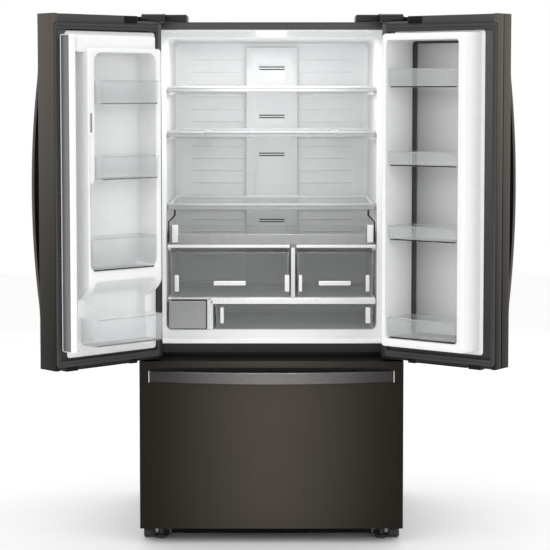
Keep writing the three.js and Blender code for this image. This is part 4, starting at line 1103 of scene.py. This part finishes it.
def freezer_drawer():
    body = "freezer_drawer"
    front, back = DOOR_FRONT, DOOR_FRONT + DOOR_THICKNESS
    skin = Shape()
    half, edge_radius = DRAWER_HALF, 7
    outline = []
    for by in (0, SKIN):
        radius = edge_radius - by
        side = [(half - by, back - by)]
        for step in range(7):
            angle = radians(15 * step)
            side.append((half - by - radius + radius * cos(angle), front + by + radius - radius * sin(angle)))
        outline.append(side + [(-x, y) for x, y in reversed(side)])
    skin.prism(outline[0] + list(reversed(outline[1])), inset(DRAWER_Z, 0.2))
    skin.piece("freezer_front_skin", body, "drawer_steel", ("freezer_front",), 25)
    hems = Shape()
    for low, high in ((DRAWER_Z[0], DRAWER_Z[0] + 3), (DRAWER_Z[1] - 3, DRAWER_Z[1])):
        hems.block(both(half - 1), (front + 0.4, front + 14), (low, high), 1.4, 3)
    hems.piece("freezer_front_hems", body, "drawer_steel")
    caps = Shape()
    for low, high in ((DRAWER_Z[0] + 1, DRAWER_Z[0] + 22), (DRAWER_Z[1] - 22, DRAWER_Z[1] - 1)):
        caps.block(both(half - SKIN - 0.4), (front + 12, back - 0.2), (low, high), 1.5, 3)
    caps.piece("freezer_front_caps", body, "black")
    plate = Shape().block(both(half - SKIN - 0.6), (back - 4, back - 1), inset(DRAWER_Z, 18), 0.5)
    plate.piece("freezer_back_plate", body, "border")
    panel = Shape()
    sections = (
        (370, (100, 580), back - 8), (370, (100, 580), back - 0.4), (366, (104, 576), back),
        (350, (120, 565), back), (346, (124, 561), back + 1.5), (343, (127, 558), -6.2),
        (330, (140, 545), -6),
    )
    panel.loft([upright_ring(both(x), y, z, 12) for x, z, y in sections])
    panel.piece("freezer_inner_liner", body, "liner", ("freezer_inner_panel",))
    gasket(
        "freezer_seal", body, "freezer_gasket",
        u=both(414), z=(72, 612), w=(back + 0.3, -0.6), width=(22, 22), height=19,
    )
    handle_half, handle_z = 416, 575
    # A flat black strip on the face, painted as the shade and reflection of the handle in the finger recess
    # behind it.
    recess_z = (handle_z - 3, handle_z + 29)
    recess = Shape().block(both(handle_half - 12), (front - 0.3, front + 2), recess_z, 0.25)
    recess.piece("freezer_recess_painted_shade", body, "black")
    bow_handle(
        "freezer_bow", body, "freezer_handle", "drawer_handle", handle_half, rise=60, thickness=14, width=40,
        point=lambda along, out, across: (along, front - out, handle_z + across),
    )
    lower, upper = Shape(), Shape()
    lower.tray(both(349), (0.8, 404), (118.5, 308), wall=3, radius=18, taper=14, lip=12, foot=5)
    lower.piece("freezer_lower_tub", body, "clear", ("freezer_lower_basket",))
    upper.tray(both(367), (10.5, 600), (420, 520), wall=3, radius=18, taper=6, lip=6, foot=5)
    upper.piece("freezer_upper_tub", body, "clear", ("freezer_upper_basket",))


# ---- camera, lights and floor ----
FLOOR_REACH = 9
LENS, SENSOR, SHIFT_Y = 119.35, 36, -0.10
# Where the camera stands in cabinet space, and how many degrees it looks down.
EYE, TILT = (12, -6225, 1537), 4.03


def studio():
    """A pale floor, a white surround and soft lights."""
    scene = bpy.context.scene
    scene.view_settings.view_transform = "Standard"
    world = bpy.data.worlds.new("studio")
    world.use_nodes = True
    world.node_tree.nodes["Background"].inputs["Color"].default_value = (1.0, 1.0, 1.0, 1)
    scene.world = world
    low, high = both(FLOOR_REACH)
    mesh = bpy.data.meshes.new("floor")
    corners = [(low, low, 0), (high, low, 0), (high, high, 0), (low, high, 0)]
    mesh.from_pydata(corners, [], [(0, 1, 2, 3)])
    floor = new_object("floor", mesh)
    pale = finish("pale_floor", "", (0.965, 0.965, 0.965), 0.9, 0.0, (3, 3, 3), 0.01)
    floor.data.materials.append(pale["material"])
    for name, size, energy, at, target in (
        ("key", (3.0, 2.2), 30, (-2.6, -4.2, 3.4), (0, 0, 0.9)),
        ("fill", (3.0, 2.2), 24, (2.8, -4.2, 2.6), (0, 0, 0.9)),
        ("back", (3.5, 1.5), 40, (0, 3.4, 3.2), (0, 0, 1.0)),
    ):
        softbox(name, size, energy, at, target)
    x, y, z = CABINET @ Vector((0, 60, 1715))
    softbox("cabinet_lamp", (0.5, 0.06), 3.6, (x, y, z), (x, y + 0.12, z - 1))


def view():
    """The camera: in front, level with the doors' upper part and looking slightly down."""
    camera_data = bpy.data.cameras.new("camera")
    camera = new_object("camera", camera_data)
    camera_data.lens, camera_data.sensor_width = LENS, SENSOR
    camera_data.shift_y = SHIFT_Y
    camera.location = CABINET @ Vector(EYE)
    camera.rotation_euler = (radians(90 - TILT), 0, 0)
    bpy.context.scene.camera = camera


def softbox(name, size, energy, at, target):
    light = bpy.data.lights.new(name, "AREA")
    light.shape = "RECTANGLE"
    light.size, light.size_y = size
    light.energy = energy
    lamp = new_object(name, light)
    lamp.location = at
    lamp.rotation_euler = (Vector(target) - Vector(at)).to_track_quat("-Z", "Y").to_euler()


studio()
view()
cabinet()
left_door()
right_door()
outer_door()
freezer_drawer()

# The CAD nodes that nothing replaces keep their shape and get a material.
slots = {part["node"]: part["material_slot"] for part in frame["record"]["subparts"]}
for node, obj in frame["nodes"].items():
    if not obj.hide_render:
        set_look(obj, "foam" if slots[node] == "foam" else "cap")
